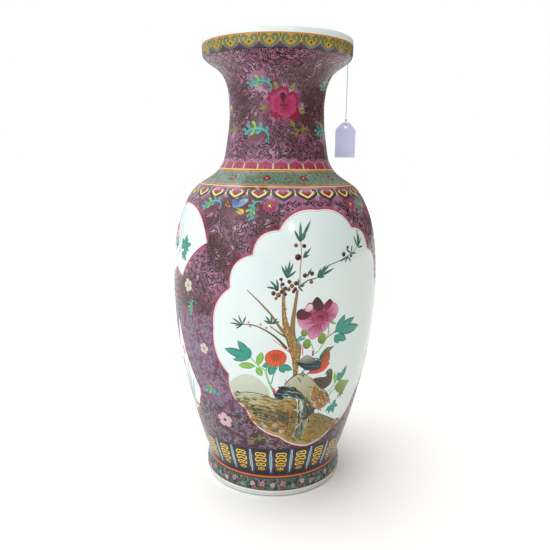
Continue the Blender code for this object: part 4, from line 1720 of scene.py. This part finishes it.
class VASE_OT_thread(Step):
    """Models the twisted thread, its knot and its loop"""

    bl_idname = "vase.thread"
    bl_label = "Thread"

    def make(self, scene):
        across = scene.vase_ticket.thread
        route = thread_route()
        thread = twisted_tube("strung_thread", resampled(route, 0.0004), across)
        dress(thread, None, "cotton_thread")
        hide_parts("thread_over_lip", "thread_hanging")
        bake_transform(thread)
        loop = self.loop(across)

    def loop(self, across):
        low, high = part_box("thread_loop")
        middle = (low + high) / 2
        outward, _ = hanging_plane()
        along = Vector((-outward.y, outward.x, 0.0))
        knot = high.z - 0.0014
        drop = knot - low.z - across / 2
        points = []
        for a in np.linspace(0, 2 * pi, 120, endpoint=False):
            narrowing = 0.5 * (1 - cos(a))
            side = 0.0040 * sin(a) * (0.72 + 0.5 * narrowing)
            points.append(Vector((middle.x, middle.y, knot - drop * narrowing)) + along * side)
        ring = twisted_tube("loop_ring", points, across, closed=True)
        coils = []
        wound = 2 * pi * 2.5
        for a in np.linspace(0, wound, 70):
            place = Vector((middle.x, middle.y, knot + 0.00165 * (a / wound - 0.5)))
            coils.append(place + (outward * cos(a) + along * sin(a)) * 0.0009)
        wraps = twisted_tube("knot_wraps", coils, across * 0.9)
        bpy.ops.object.select_all(action="DESELECT")
        wraps.select_set(True)
        ring.select_set(True)
        bpy.context.view_layer.objects.active = ring
        bpy.ops.object.join()
        ring.name = "ticket_loop"
        dress(ring, "loop", "cotton_thread")
        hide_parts("thread_loop")
        return ring


class VASE_OT_ticket(Step):
    """Gives the card and the tape their paper and film"""

    bl_idname = "vase.ticket"
    bl_label = "Ticket and Tape"

    def make(self, scene):
        for node, finish in (("ticket_card", "lavender_card"), ("thread_tape", "clear_tape")):
            slots = NODES[node].material_slots
            for slot in slots:
                slot.material = finish_of(finish)
            if not slots:
                NODES[node].data.materials.append(finish_of(finish))


def wall_loop(low, high, step=0.003):
    """The closed profile of a plain length of wall."""
    heights = along_wall(low, high, step)
    outer = [profile_point(z, 0.0) for z in heights]
    inner = [profile_point(z, WALL) for z in heights[::-2]]
    if heights[::-2][-1] != heights[0]:
        inner.append(profile_point(heights[0], WALL))
    return outer + inner


def mouth_loop(low):
    heights = along_wall(low, LIP_LEVEL, 0.0025)
    outer = [profile_point(z, 0.0) for z in heights]
    inner = [profile_point(z, WALL) for z in heights[::-1]]
    middle = radius(LIP_LEVEL) - WALL / 2
    lip = [
        (middle + WALL / 2 * cos(a), LIP_LEVEL + WALL / 2 * sin(a)) for a in np.linspace(0, pi, 15)[1:-1]
    ]
    return outer + lip + inner


def foot_loop(high):
    heights = along_wall(FOOT_ROUND, high, 0.0025)
    outer = [profile_point(z, 0.0) for z in heights]
    inner_top = profile_point(high, WALL)
    inner = [
        inner_top, (inner_top[0], (high + FLOOR) / 2 + 0.003), (inner_top[0] - 0.004, FLOOR + 0.0015)
    ]
    inner += [(inner_top[0] - 0.009, FLOOR), (0.05, FLOOR), (0.0, FLOOR)]
    below = [(0.0, RECESS), (0.05, RECESS), (FOOT_RING_INSIDE - RECESS, RECESS)]
    below += [(FOOT_RING_INSIDE - 0.4 * RECESS, 0.8 * RECESS), (FOOT_RING_INSIDE, 0.0)]
    centre = radius(FOOT_ROUND) - FOOT_ROUND
    rounding = [
        (centre + FOOT_ROUND * sin(a), FOOT_ROUND * (1 - cos(a))) for a in np.linspace(0, pi / 2, 9)[:-1]
    ]
    return outer + inner + below + rounding


class VASE_OT_wall(Step):
    """Turns the five sections of the glazed wall"""

    bl_idname = "vase.wall"
    bl_label = "Glazed Wall"

    def make(self, scene):
        foot, belly, neck, mouth = (SEAM_LEVELS[name] for name in SEAMS)
        pieces = (
            ("glazed_foot", foot_loop(foot), ("foot_section", "slip_seam_foot")),
            ("glazed_lower_body", wall_loop(foot, belly), ("lower_body_section", "slip_seam_belly")),
            ("glazed_upper_body", wall_loop(belly, neck), ("upper_body_section", "slip_seam_neck")),
            ("glazed_neck", wall_loop(neck, mouth), ("neck_section", "slip_seam_mouth")),
            ("glazed_mouth", mouth_loop(mouth), ("mouth_section",)),
        )
        for name, profile, nodes in pieces:
            piece = turned(name, profile)
            dress(piece, "vase", "white_glaze", "enamelled_glaze", "white_glaze", "bare_biscuit")
            for polygon in piece.data.polygons:
                polygon.material_index = self.zone(polygon.center)
            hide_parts(*nodes)

    def zone(self, centre):
        """0 for painted ground, 1 for white glaze, 2 for the bare ring under the foot."""
        r = np.hypot(centre.x, centre.y)
        if centre.z < 0.0004:
            return 2
        outer = r > radius(max(centre.z, FOOT_ROUND)) - 0.0022
        rounded_edge = centre.z < FOOT_ROUND and r > FOOT_RING_INSIDE + 0.003
        return 0 if rounded_edge or (outer and centre.z < RIM_LINE) else 1


class VASE_OT_reserves(Step):
    """Lays the white reserves and the red line round each"""

    bl_idname = "vase.reserves"
    bl_label = "Reserves"

    def make(self, scene):
        glaze = Paint()
        lines = Paint()
        width = scene.vase_paint.outline / MM
        for kind, azimuth in reserve_places():
            outline = RESERVE_SHAPES[kind]
            rings = np.concatenate([[1.0, 0.992], np.linspace(0.97, 0.05, 34)])
            sheet = patch(outline, "blossom_white", None, 90.0, 0.10, tuple(rings), deep=True)
            chart = panel_chart(azimuth)
            glaze.lay(sheet, chart)
            lines.lay(stroke(outline, width, "outline_red", 2, True), chart, 0.07)
            pale = outline.mean(0) + (outline - outline.mean(0)) * (0.984 if kind == "large" else 0.965)
            lines.lay(stroke(pale, 0.5, "peony_pale", 1, True, True), chart, 0.09)
        glaze.piece("white_reserves", "white_glaze", "white_glaze")
        lines.piece("reserve_lines")


def ring_line(z, width, pigment):
    """A painted line right round the vase."""
    turns = np.linspace(0, 1000, 288, endpoint=False)
    across = np.array((-0.5, -0.3, 0.0, 0.3, 0.5)) * width
    slot, rim, body, top = shades(pigment)
    count, k = len(turns), len(across)
    xy = np.stack(np.meshgrid(turns, across, indexing="ij"), -1).reshape(-1, 2)
    lift = np.tile((-0.04, 0.10, 0.13, 0.10, -0.04), count)
    # The middle of each line takes the lighter crest colour, a painted highlight.
    colour = np.tile([rim, body, top, body, rim], (count, 1))
    uv = on_chart(slot, np.repeat(turns / 1000, k), np.tile(np.linspace(0, 1, k), count))
    return Shape(xy, lift, *strip_faces(count, k, True), colour, uv), ring_chart(z)


class VASE_OT_lines(Step):
    """Draws the coloured lines round the vase"""

    bl_idname = "vase.lines"
    bl_label = "Lines"

    def make(self, scene):
        paint = Paint()
        lines = (
            (RIM_LINE + 0.0004, 1.5, "line_orange"),
            (NECK_LOW_LINE + 0.0022, 1.9, "line_yellow"),
            (NECK_LOW_LINE + 0.0004, 1.5, "line_orange"),
            (SHOULDER_LINE + 0.0014, 1.2, "line_orange"),
            (SHOULDER_LINE - 0.0004, 2.0, "line_yellow"),
            (FOOT_BAND_TOP, 1.0, "fringe"),
            (FOOT_LINE + 0.0022, 1.0, "maroon"),
            (FOOT_LINE, 2.6, "line_orange"),
            (0.0250, 0.8, "ruyi_green"),
            (0.0090, 0.9, "line_orange"),
            (0.0052, 0.5, "bark"),
        )
        for z, width, pigment in lines:
            paint.lay(*ring_line(z, width, pigment))
        paint.piece("painted_lines")


def both_sides(shapes):
    return joined(shapes + [shape.moved(flip=-1.0) for shape in shapes])


def cloud_head():
    """The double scroll of the mouth band, about 20 mm wide, with its eye."""
    half = [
        (0, -7.0), (4.4, -4.8), (8.2, -1.2), (9.8, 2.8), (8.4, 6.0), (5.4, 6.4), (3.4, 4.4), (4.0, 2.0),
        (6.0, 2.2)
    ]
    scroll = stroke(half, (3.1, 3.7, 3.8, 3.8, 3.5, 3.2, 3.0, 2.8, 3.0), "ruyi_green", 3, halo=0.42)
    inner = stroke([(0, -3.4), (2.6, -1.4), (3.2, 0.6)], (1.0, 0.8, 0.3), "line_orange", 3, fine=True)
    top = stroke([(0, 2.4), (1.2, 4.2), (1.8, 7.0)], (1.0, 1.0, 0.6), "ruyi_green", 3)
    eye = dab(0, -0.4, 3.0, "maroon", count=8)
    return joined([both_sides([scroll, inner, top]), eye.moved(raised=0.05)])


class VASE_OT_mouth_band(Step):
    """Paints the cloud heads and the pointed fringe round the mouth"""

    bl_idname = "vase.mouth_band"
    bl_label = "Mouth Band"

    def make(self, scene):
        paint = Paint()
        head = cloud_head()
        gap = smooth_path(with_mirror([(12.0, -9.0), (9, -7.2), (4.5, -4.6), (0, -1.5)]), 2, True)
        wedge = patch(gap, "fringe", "scroll", 270.0, 0.10)
        edge = with_mirror([(-12.0, -9.6), (-9, -7.6), (-4, -4.8), (0, -1.8)])
        point = stroke(edge, 1.2, "fringe", 2)
        drop = joined([
            stroke([(0, 8.0), (0, 5.0), (0, 3.6)], (2.6, 1.8, 0.4), "band_scroll", 2),
            stroke([(-2.6, -3.2), (0, -0.8), (2.6, -3.2)], (0.9, 1.5, 0.9), "band_scroll", 2),
        ])
        count = scene.vase_paint.rim_heads
        for k in range(count):
            turn = 2 * pi * (k + 0.62) / count
            paint.lay(head, spot_chart(turn, CLOUD_HEADS))
            between = spot_chart(turn + pi / count, CLOUD_HEADS)
            paint.lay(wedge, between)
            paint.lay(point, between, 0.05)
            paint.lay(drop, between)
        paint.piece("mouth_band")


def scallop():
    """A crimson lobe with a pale double edge, one of the row at the base of the neck."""
    lobe = smooth_path(with_mirror([(10.5, 0), (10.2, 5), (7.4, 9.6), (3.6, 10.4), (0, 13.2)]), 2, True)
    edge = with_mirror([(-10.6, 0), (-10.2, 5), (-7.4, 9.6), (-3.6, 10.4), (0, 13.2)])
    inner = with_mirror([(-6.6, 0), (-6.0, 3.6), (-3.0, 5.6), (0, 7.6)])
    return joined([
        patch(lobe, "crimson", "pink", 90.0, 0.10),
        stroke(edge, 1.2, "squiggle", 3).moved(raised=0.06),
        stroke(inner, 0.9, "squiggle_dark", 3, fine=True).moved(raised=0.11),
        stroke([(0, 0), (0, 2.6), (0, 4.6)], (1.4, 1.8, 0.5), "maroon", 2).moved(raised=0.11),
    ])


def lappet():
    """A heart of the shoulder: navy outside, yellow inside, a maroon middle."""
    outer = [(0, -8.0), (5.2, -4.8), (10.0, -1.2), (12.6, 2.8), (11.4, 6.2), (8.4, 6.0), (8.0, 3.4)]
    inner = [(0, -4.8), (4.2, -2.2), (7.6, 0.6), (8.4, 3.8)]
    middle = smooth_path(
        [(-5.6, 4.6), (-4.4, -0.6), (0, -3.2), (4.4, -0.6), (5.6, 4.6), (2.0, 2.6), (-2.0, 2.6)], 2,
        True
    )
    core = patch(middle, "maroon", "crimson", 90.0, 0.14)
    right = [
        stroke([(0, -9.6), (5.6, -6.2), (11.4, -2.4), (14.4, 2.6)], 1.3, "scroll", 3),
        stroke(outer, (2.9, 3.2, 3.2, 3.2, 2.9, 2.4, 2.0), "navy", 3, halo=0.22),
        stroke(inner, (2.2, 2.6, 2.6, 2.0), "yellow", 3).moved(raised=0.04),
        dab(6.4, 4.6, 2.8, "yellow", count=8).moved(raised=0.06),
    ]
    return joined([both_sides(right), core])


def drop():
    """The small yellow bud that hangs between two hearts."""
    return joined([
        stroke([(0, 6.4), (0, 3.6), (0, 0.0), (0, -2.4)], (0.8, 1.0, 3.0, 0.4), "yellow", 3),
        stroke([(-2.6, -1.0), (0, -4.2), (2.6, -1.0)], (0.6, 1.2, 0.6), "turquoise", 3),
        stroke([(-2.8, 5.4), (0, 3.8), (2.8, 5.4)], (0.5, 1.0, 0.5), "leaf", 3),
    ])


class VASE_OT_shoulder_bands(Step):
    """Paints the lobes, the green scroll band and the hearts at the base of the neck"""

    bl_idname = "vase.shoulder_bands"
    bl_label = "Shoulder Bands"

    def make(self, scene):
        paint = Paint()
        count = scene.vase_paint.hearts
        lobe, heart, bud = scallop(), lappet(), drop()
        peg = joined([
            stroke([(0, 0), (0, 3.4), (0, 7.4)], (2.2, 1.3, 2.3), "yellow", 3),
            stroke([(-2.4, 8.8), (0, 7.0), (2.4, 8.8)], (0.5, 1.0, 0.5), "ruyi_green", 3),
        ])
        for k in range(count):
            turn = 2 * pi * (k + 0.3) / count
            paint.lay(lobe, spot_chart(turn, NECK_LOW_LINE + 0.0030))
            paint.lay(peg, spot_chart(turn + pi / count, NECK_LOW_LINE + 0.0030), 0.08)
            paint.lay(heart, spot_chart(turn, LAPPETS))
            paint.lay(bud, spot_chart(turn + pi / count, LAPPETS))
        self.green_band(paint)
        paint.piece("shoulder_bands")

    def green_band(self, paint):
        middle = (NECK_LOW_LINE + SHOULDER_LINE) / 2 + 0.0005
        curls = [scroll_forms(name, heavy=0.8) for name in ("band_scroll", "teal_dark", "band_scroll")]
        azimuth, z, draw = scattered(SHOULDER_LINE + 0.0034, NECK_LOW_LINE - 0.0024, 0.0052, 3)
        for k, (a, height) in enumerate(zip(azimuth, z)):
            forms = curls[(k * 5 + k // 7) % 3]
            turn = draw.uniform(0, 360)
            paint.lay(forms[k % 4], spot_chart(a, height, turn, 0.62, 1 if k % 2 else -1))
        flower = blossom(5, 11, "crimson", "maroon", "yellow", "olive")
        small = blossom(5, 8, "turquoise", "teal", "ruby_dot", "olive")
        for k in range(24):
            turn = 2 * pi * (k + 0.5 * (k % 2)) / 24
            paint.lay(flower if k % 2 else small, spot_chart(turn, middle, 13 * k), 0.14)


def foot_knot():
    """An endless knot, about 16 mm wide and 36 mm high, in yellow with brown outlines."""
    ring = [(0, 5.0), (-6.6, 4.0), (-6.0, -1.6), (0, 1.4), (6.0, -1.6), (6.6, 4.0)]
    tie = stroke([(-5.4, -3.2), (0, 0.2), (5.4, -3.2)], (1.2, 2.0, 1.2), "line_orange", 3)
    shapes = []
    for y, size in ((13.0, 1.0), (3.0, 1.05), (-7.0, 0.92), (-15.4, 0.6)):
        shapes += [
            stroke(ring, 3.8, "scroll_brown", 4, True, halo=0.16).moved(0, y, 0, size),
            stroke(ring, 2.2, "yellow", 4, True).moved(0, y, 0, size, raised=0.05),
            tie.moved(0, y, 0, size, raised=0.10),
            dab(0, y - 4.8 * size, 2.4 * size, "yellow", count=8).moved(raised=0.12),
        ]
    return joined(shapes)


class VASE_OT_foot_bands(Step):
    """Paints the knots and spears above the foot, and the flowered band on it"""

    bl_idname = "vase.foot_bands"
    bl_label = "Foot Bands"

    def make(self, scene):
        paint = Paint()
        spear = joined([
            stroke([(0, 22.5), (0, 8), (0, -8), (0, -22)], (5.6, 8.0, 7.4, 4.0), "navy", 3, halo=0.18),
            stroke(
                [(0, 21.5), (0, 8), (0, -8), (0, -20)], (2.4, 4.8, 4.4, 1.0), "white_line", 3
            ).moved(raised=0.06),
            stroke(
                [(0, 20.5), (0, 8), (0, -8), (0, -18)], (1.6, 3.4, 3.0, 0.6), "turquoise", 3, halo=0.5
            ).moved(raised=0.12),
        ])
        side = stroke([(-7.4, 21), (-9.0, 8), (-8.4, -8), (-6.0, -20)], (0.8, 1.2, 1.1, 0.6), "fringe", 3)
        knot = joined([foot_knot(), side, side.moved(flip=-1.0)])
        count = scene.vase_paint.hearts
        middle = (FOOT_BAND_TOP + FOOT_LINE) / 2 + 0.0008
        for k in range(count):
            turn = 2 * pi * (k + 0.9) / count
            paint.lay(spear, spot_chart(turn, middle))
            paint.lay(knot, spot_chart(turn + pi / count, middle, 0, 0.92))
        colours = ("turquoise", "olive", "squiggle_dark", "ruyi_green", "squiggle")
        curls = [scroll_forms(name, heavy=0.85) for name in colours]
        azimuth, z, draw = scattered(0.0115, 0.0235, 0.0046, 8)
        for k, (a, height) in enumerate(zip(azimuth, z)):
            form = curls[(k * 7 + k // 11) % len(curls)][k % 4]
            paint.lay(form, spot_chart(a, height, draw.uniform(0, 360), 0.50, 1 if k % 2 else -1))
        paint.piece("foot_bands")
        self.flowers()

    def flowers(self):
        paint = Paint()
        tints = (
            ("blossom_white", "peony_pale"), ("pink", "blossom_white"), ("turquoise", "squiggle_blue")
        )
        kinds = [blossom(5, 7.4, one, two, "ruby_dot", "yellow") for one, two in tints]
        for k in range(44):
            height = 0.0170 + 0.0028 * sin(k * 2.4)
            paint.lay(kinds[k % 3], spot_chart(2 * pi * k / 44, height, 25 * k), 0.13)
        paint.piece("foot_flowers")


def ground_motifs():
    """(shape, azimuth, height, turn, size, flip, room in mm) of what is painted on the ground."""
    panel = degrees(bpy.context.scene.vase_paint.panel_azimuth)
    spray, spray_olive = acanthus(), acanthus("olive", "leaf_dark")
    pink_bloom = blossom(7, 24, "maroon", "peony", "yellow", "white_line")
    white_bloom = blossom(5, 26, "blossom_white", "wash", "bloom")
    dark_bloom = blossom(5, 26, "blossom_white", "peony_pale", "berry")
    dusky = joined(
        [blade_leaf(0, 0, 15, 6, turn, "leaf_dark", 2, "teal_dark") for turn in (-70, -25, 20, 65)]
    )
    fly = butterfly()
    places = []
    for half in (0, 180):
        for flip in (1, -1):
            rows = (
                (fly, -47, 396, -12, 0.8, 15), (pink_bloom, -27, 398, 10, 0.7, 9),
                (spray, -36, 394, 70, 0.66, 12),
                (spray, -64, 398, 10, 0.8, 14), (spray, -72, 266, 60, 0.6, 10),
                (white_bloom, -75, 293, 20, 0.7, 10),
                (dusky, -80, 264, 0, 1.0, 12), (dark_bloom, -56, 114, 0, 0.95, 13),
                (spray, -62, 152, -20, 0.74, 13),
                (spray_olive, -33, 92, 10, 0.62, 10), (white_bloom, -64, 214, 60, 0.6, 8),
                (pink_bloom, -90, 273, 0, 0.6, 8),
            )
            for shape, offset, height, turn, size, room in rows:
                azimuth = radians(panel + half + flip * offset)
                places.append((shape, azimuth, height * MM, flip * turn, size, flip, room))
    for k in range(4):
        turn = radians(90 * k)
        side = radians(panel + 14) + turn
        places += [
            (spray, side - radians(56), 0.545, -8, 0.80, 1, 13),
            (spray, side - radians(60), 0.487, -12, 0.95, 1, 16),
            (spray_olive, side - radians(8), 0.488, 8, 0.62, 1, 10),
        ]
        if k % 2 == 0:
            places.append((peony_on_neck(), radians(panel - 16) + turn, 0.519, 0, 1.0, 1, 27))
        else:
            places.append((fly, radians(panel - 16) + turn, 0.519, 15, 0.9, 1, 17))
    return places


def peony_on_neck():
    """The ruby peony of the neck, about 52 mm across."""
    draw = np.random.default_rng(9)
    shapes = []
    for angle in (20, 95, 205, 250, 330):
        a = radians(angle)
        b = radians(angle + 6)
        shapes += needles(-20 * sin(a), 20 * cos(a), ((-31 * sin(b), 31 * cos(b)),), 7, "olive")
    rings = (
        (8, 22, 15, "maroon", "crimson", 0.03),
        (7, 17, 13, "crimson", "pink", 0.12),
        (6, 12, 10, "pink", "crimson", 0.20),
        (4, 7, 7, "maroon", "crimson", 0.27),
    )
    for count, length, width, first, second, raised in rings:
        start = draw.uniform(0, 360)
        for k in range(count):
            turn = start + 360 * k / count + draw.uniform(-14, 14)
            size = draw.uniform(0.78, 1.16)
            lift = raised + 0.02 * (k % 3)
            shapes.append(petal(0, 0, length * size, width * size, turn, first, second, lift))
    return joined(shapes)


class VASE_OT_ground_flowers(Step):
    """Paints the flowers, sprays and butterflies on the coloured ground"""

    bl_idname = "vase.ground_flowers"
    bl_label = "Flowers on the Ground"

    def make(self, scene):
        paint = Paint()
        BLOOMS.clear()
        for shape, azimuth, height, turn, size, flip, room in ground_motifs():
            paint.lay(shape, spot_chart(azimuth, height, turn, size, flip), 0.02)
            BLOOMS.append((azimuth % (2 * pi), height, room))
        paint.piece("ground_flowers")


class VASE_OT_scroll_ground(Step):
    """Covers the ground with hooked scrolls and, lower down, with fine curls"""

    bl_idname = "vase.scroll_ground"
    bl_label = "Scroll Ground"

    def make(self, scene):
        sizes = scene.vase_paint
        hooks, curls = sizes.scroll_pitch, sizes.squiggle_pitch
        dark = ("scroll", "scroll", "scroll_brown")
        bright = ("squiggle", "squiggle_blue", "squiggle_dark")
        dusky = ("squiggle_dark", "squiggle", "squiggle")
        zones = (
            ("neck_scrolls", NECK_LOW_LINE + 0.018, RIM_LOW - 0.003, hooks * 0.82, 0.80, dark, 21),
            ("shoulder_scrolls", HOOKS_LOW, 0.4005, hooks * 0.96, 0.93, dark, 22),
            ("waist_curls", 0.128, CURLS_HIGH, curls, 0.66, bright, 23),
            ("low_curls", FOOT_BAND_TOP + 0.003, 0.124, curls, 0.66, dusky, 24),
        )
        for name, low, high, pitch, size, pigments, seed in zones:
            fine = size < 0.7
            forms = [scroll_forms(pigment, fine, 0.72 if fine else 1.12) for pigment in pigments]
            azimuth, z, draw = scattered(low, high, pitch, seed)
            kept = clear_of_reserves(azimuth, z, 2.6 if fine else 4.2) & clear_of_blooms(azimuth, z)
            paint = Paint()
            for k in np.flatnonzero(kept):
                tone = forms[int(draw.integers(3))]
                scale = size * draw.uniform(0.86, 1.12)
                chart = spot_chart(azimuth[k], z[k], draw.uniform(0, 360), scale, 1 if k % 2 else -1)
                paint.lay(tone[int(draw.integers(4))], chart)
            if fine:
                self.dots(paint, azimuth[kept], z[kept], draw)
            else:
                self.commas(paint, low, high, pitch, draw)
            paint.piece(name)

    def commas(self, paint, low, high, pitch, draw):
        """Small drops that fill the gaps between the hooks."""
        path = [(-1.9, 0.5), (-0.9, -0.2), (0.4, 0.1), (1.7, 1.1)]
        comma = stroke(path, (1.9, 1.9, 1.1, 0.3), "scroll", 1, halo=0.2)
        azimuth, z, _ = scattered(low, high, pitch * 1.1, int(draw.integers(1000)))
        for k in np.flatnonzero(clear_of_reserves(azimuth, z, 2.6) & clear_of_blooms(azimuth, z)):
            turn = draw.uniform(0, 360)
            paint.lay(comma, spot_chart(azimuth[k], z[k], turn, draw.uniform(0.7, 1.1)), -0.02)

    def dots(self, paint, azimuth, z, draw):
        """The ruby and blue dots among the fine curls."""
        tones = ((2.2, "ruby_dot"), (1.8, "blue"), (2.0, "navy"))
        kinds = [dab(0, 0, across, tone, count=7) for across, tone in tones]
        for k in draw.choice(len(azimuth), len(azimuth) // 7, replace=False):
            paint.lay(kinds[k % 3], spot_chart(azimuth[k] + 0.018, z[k] + 0.0012), 0.05)


class VASE_OT_large_scenes(Step):
    """Paints the birds, rock and flowers in both large reserves"""

    bl_idname = "vase.large_scenes"
    bl_label = "Large Scenes"

    def make(self, scene):
        panel = scene.vase_paint.panel_azimuth
        groups = {
            "rock": rocks(),
            "trunk": branches() + twig_leaves_and_berries() + sprig(),
            "flowers": peony() + bloom_and_leaves() + birds(),
        }
        for side, azimuth, flip in (("front", panel, 1.0), ("back", panel + pi, -1.0)):
            chart = panel_chart(azimuth, flip)
            for name, shapes in groups.items():
                paint = Paint()
                for shape in shapes:
                    paint.lay(shape, chart, 0.16)
                paint.piece(f"{side}_scene_{name}")


class VASE_OT_small_scenes(Step):
    """Paints the sprigs in the four small reserves"""

    bl_idname = "vase.small_scenes"
    bl_label = "Small Scenes"

    def make(self, scene):
        paint = Paint()
        upper = [
            stroke([(2, 318), (6, 336), (4, 354), (8, 372)], (2.0, 1.8, 1.2, 0.6), "plume_grey", 4),
            stroke([(3, 330), (16, 340), (24, 338)], (1.6, 1.2, 0.8), "needle", 4),
            lobed_leaf(20, 338, 20, -20),
            lobed_leaf(24, 342, 16, -75).moved(raised=0.06),
            lobed_leaf(20, 334, 15, -140).moved(raised=0.10),
            lobed_leaf(-6, 338, 22, 40),
            blossom(6, 26, "peony", "peony_pale", "yellow").moved(-22, 356),
            lobed_leaf(-24, 344, 16, 120),
        ]
        lower = []
        for x, y, turn, length in (
            (0, 118, 8, 62), (2, 118, -14, 70), (-3, 118, 22, 58), (4, 120, -30, 44), (-6, 120, 40, 36)
        ):
            lower.append(blade_leaf(x, y, length, 3.0, turn, "needle", 5 if turn > 0 else -5))
        lower.append(blossom(5, 15, "peony_pale", "blossom_white", "yellow").moved(4, 196))
        lower.append(blossom(5, 13, "peony_pale", "blossom_white", "yellow").moved(-10, 176))
        lower.append(
            loop_patch(
                [(-20, 116), (-8, 126), (10, 124), (22, 116), (6, 112), (-8, 112)], "rock_pale",
                "rock_gold", 20.0
            )
        )
        for kind, azimuth in reserve_places():
            if kind != "large":
                for shape in upper if kind == "upper" else lower:
                    paint.lay(shape, panel_chart(azimuth), 0.16)
        paint.piece("small_scenes")


class VASE_PT_looks(bpy.types.Panel):
    """Lists the steps of the making"""

    bl_label = "Porcelain Vase"
    bl_idname = "VASE_PT_looks"
    bl_space_type = "VIEW_3D"
    bl_region_type = "UI"
    bl_category = "Vase"

    def draw(self, context):
        for group in GROUPS:
            settings = getattr(context.scene, group)
            for name in settings.bl_rna.properties.keys():
                if name not in ("rna_type", "name"):
                    self.layout.prop(settings, name)
        for step in STEPS:
            self.layout.operator(step.bl_idname)


STEPS = (
    VASE_OT_studio,
    VASE_OT_thread,
    VASE_OT_ticket,
    VASE_OT_wall,
    VASE_OT_reserves,
    VASE_OT_lines,
    VASE_OT_mouth_band,
    VASE_OT_shoulder_bands,
    VASE_OT_foot_bands,
    VASE_OT_ground_flowers,
    VASE_OT_scroll_ground,
    VASE_OT_large_scenes,
    VASE_OT_small_scenes,
)


def register():
    for group in GROUPS.values():
        bpy.utils.register_class(group)
    for name, group in GROUPS.items():
        setattr(bpy.types.Scene, name, PointerProperty(type=group))
    for step in STEPS:
        bpy.utils.register_class(step)
    bpy.utils.register_class(VASE_PT_looks)


def unregister():
    bpy.utils.unregister_class(VASE_PT_looks)
    for step in reversed(STEPS):
        bpy.utils.unregister_class(step)
    for name in GROUPS:
        delattr(bpy.types.Scene, name)
    for group in GROUPS.values():
        bpy.utils.unregister_class(group)


def main():
    register()
    for step in STEPS:
        family, action = step.bl_idname.split(".")
        getattr(getattr(bpy.ops, family), action)()


if __name__ == "__main__":
    main()
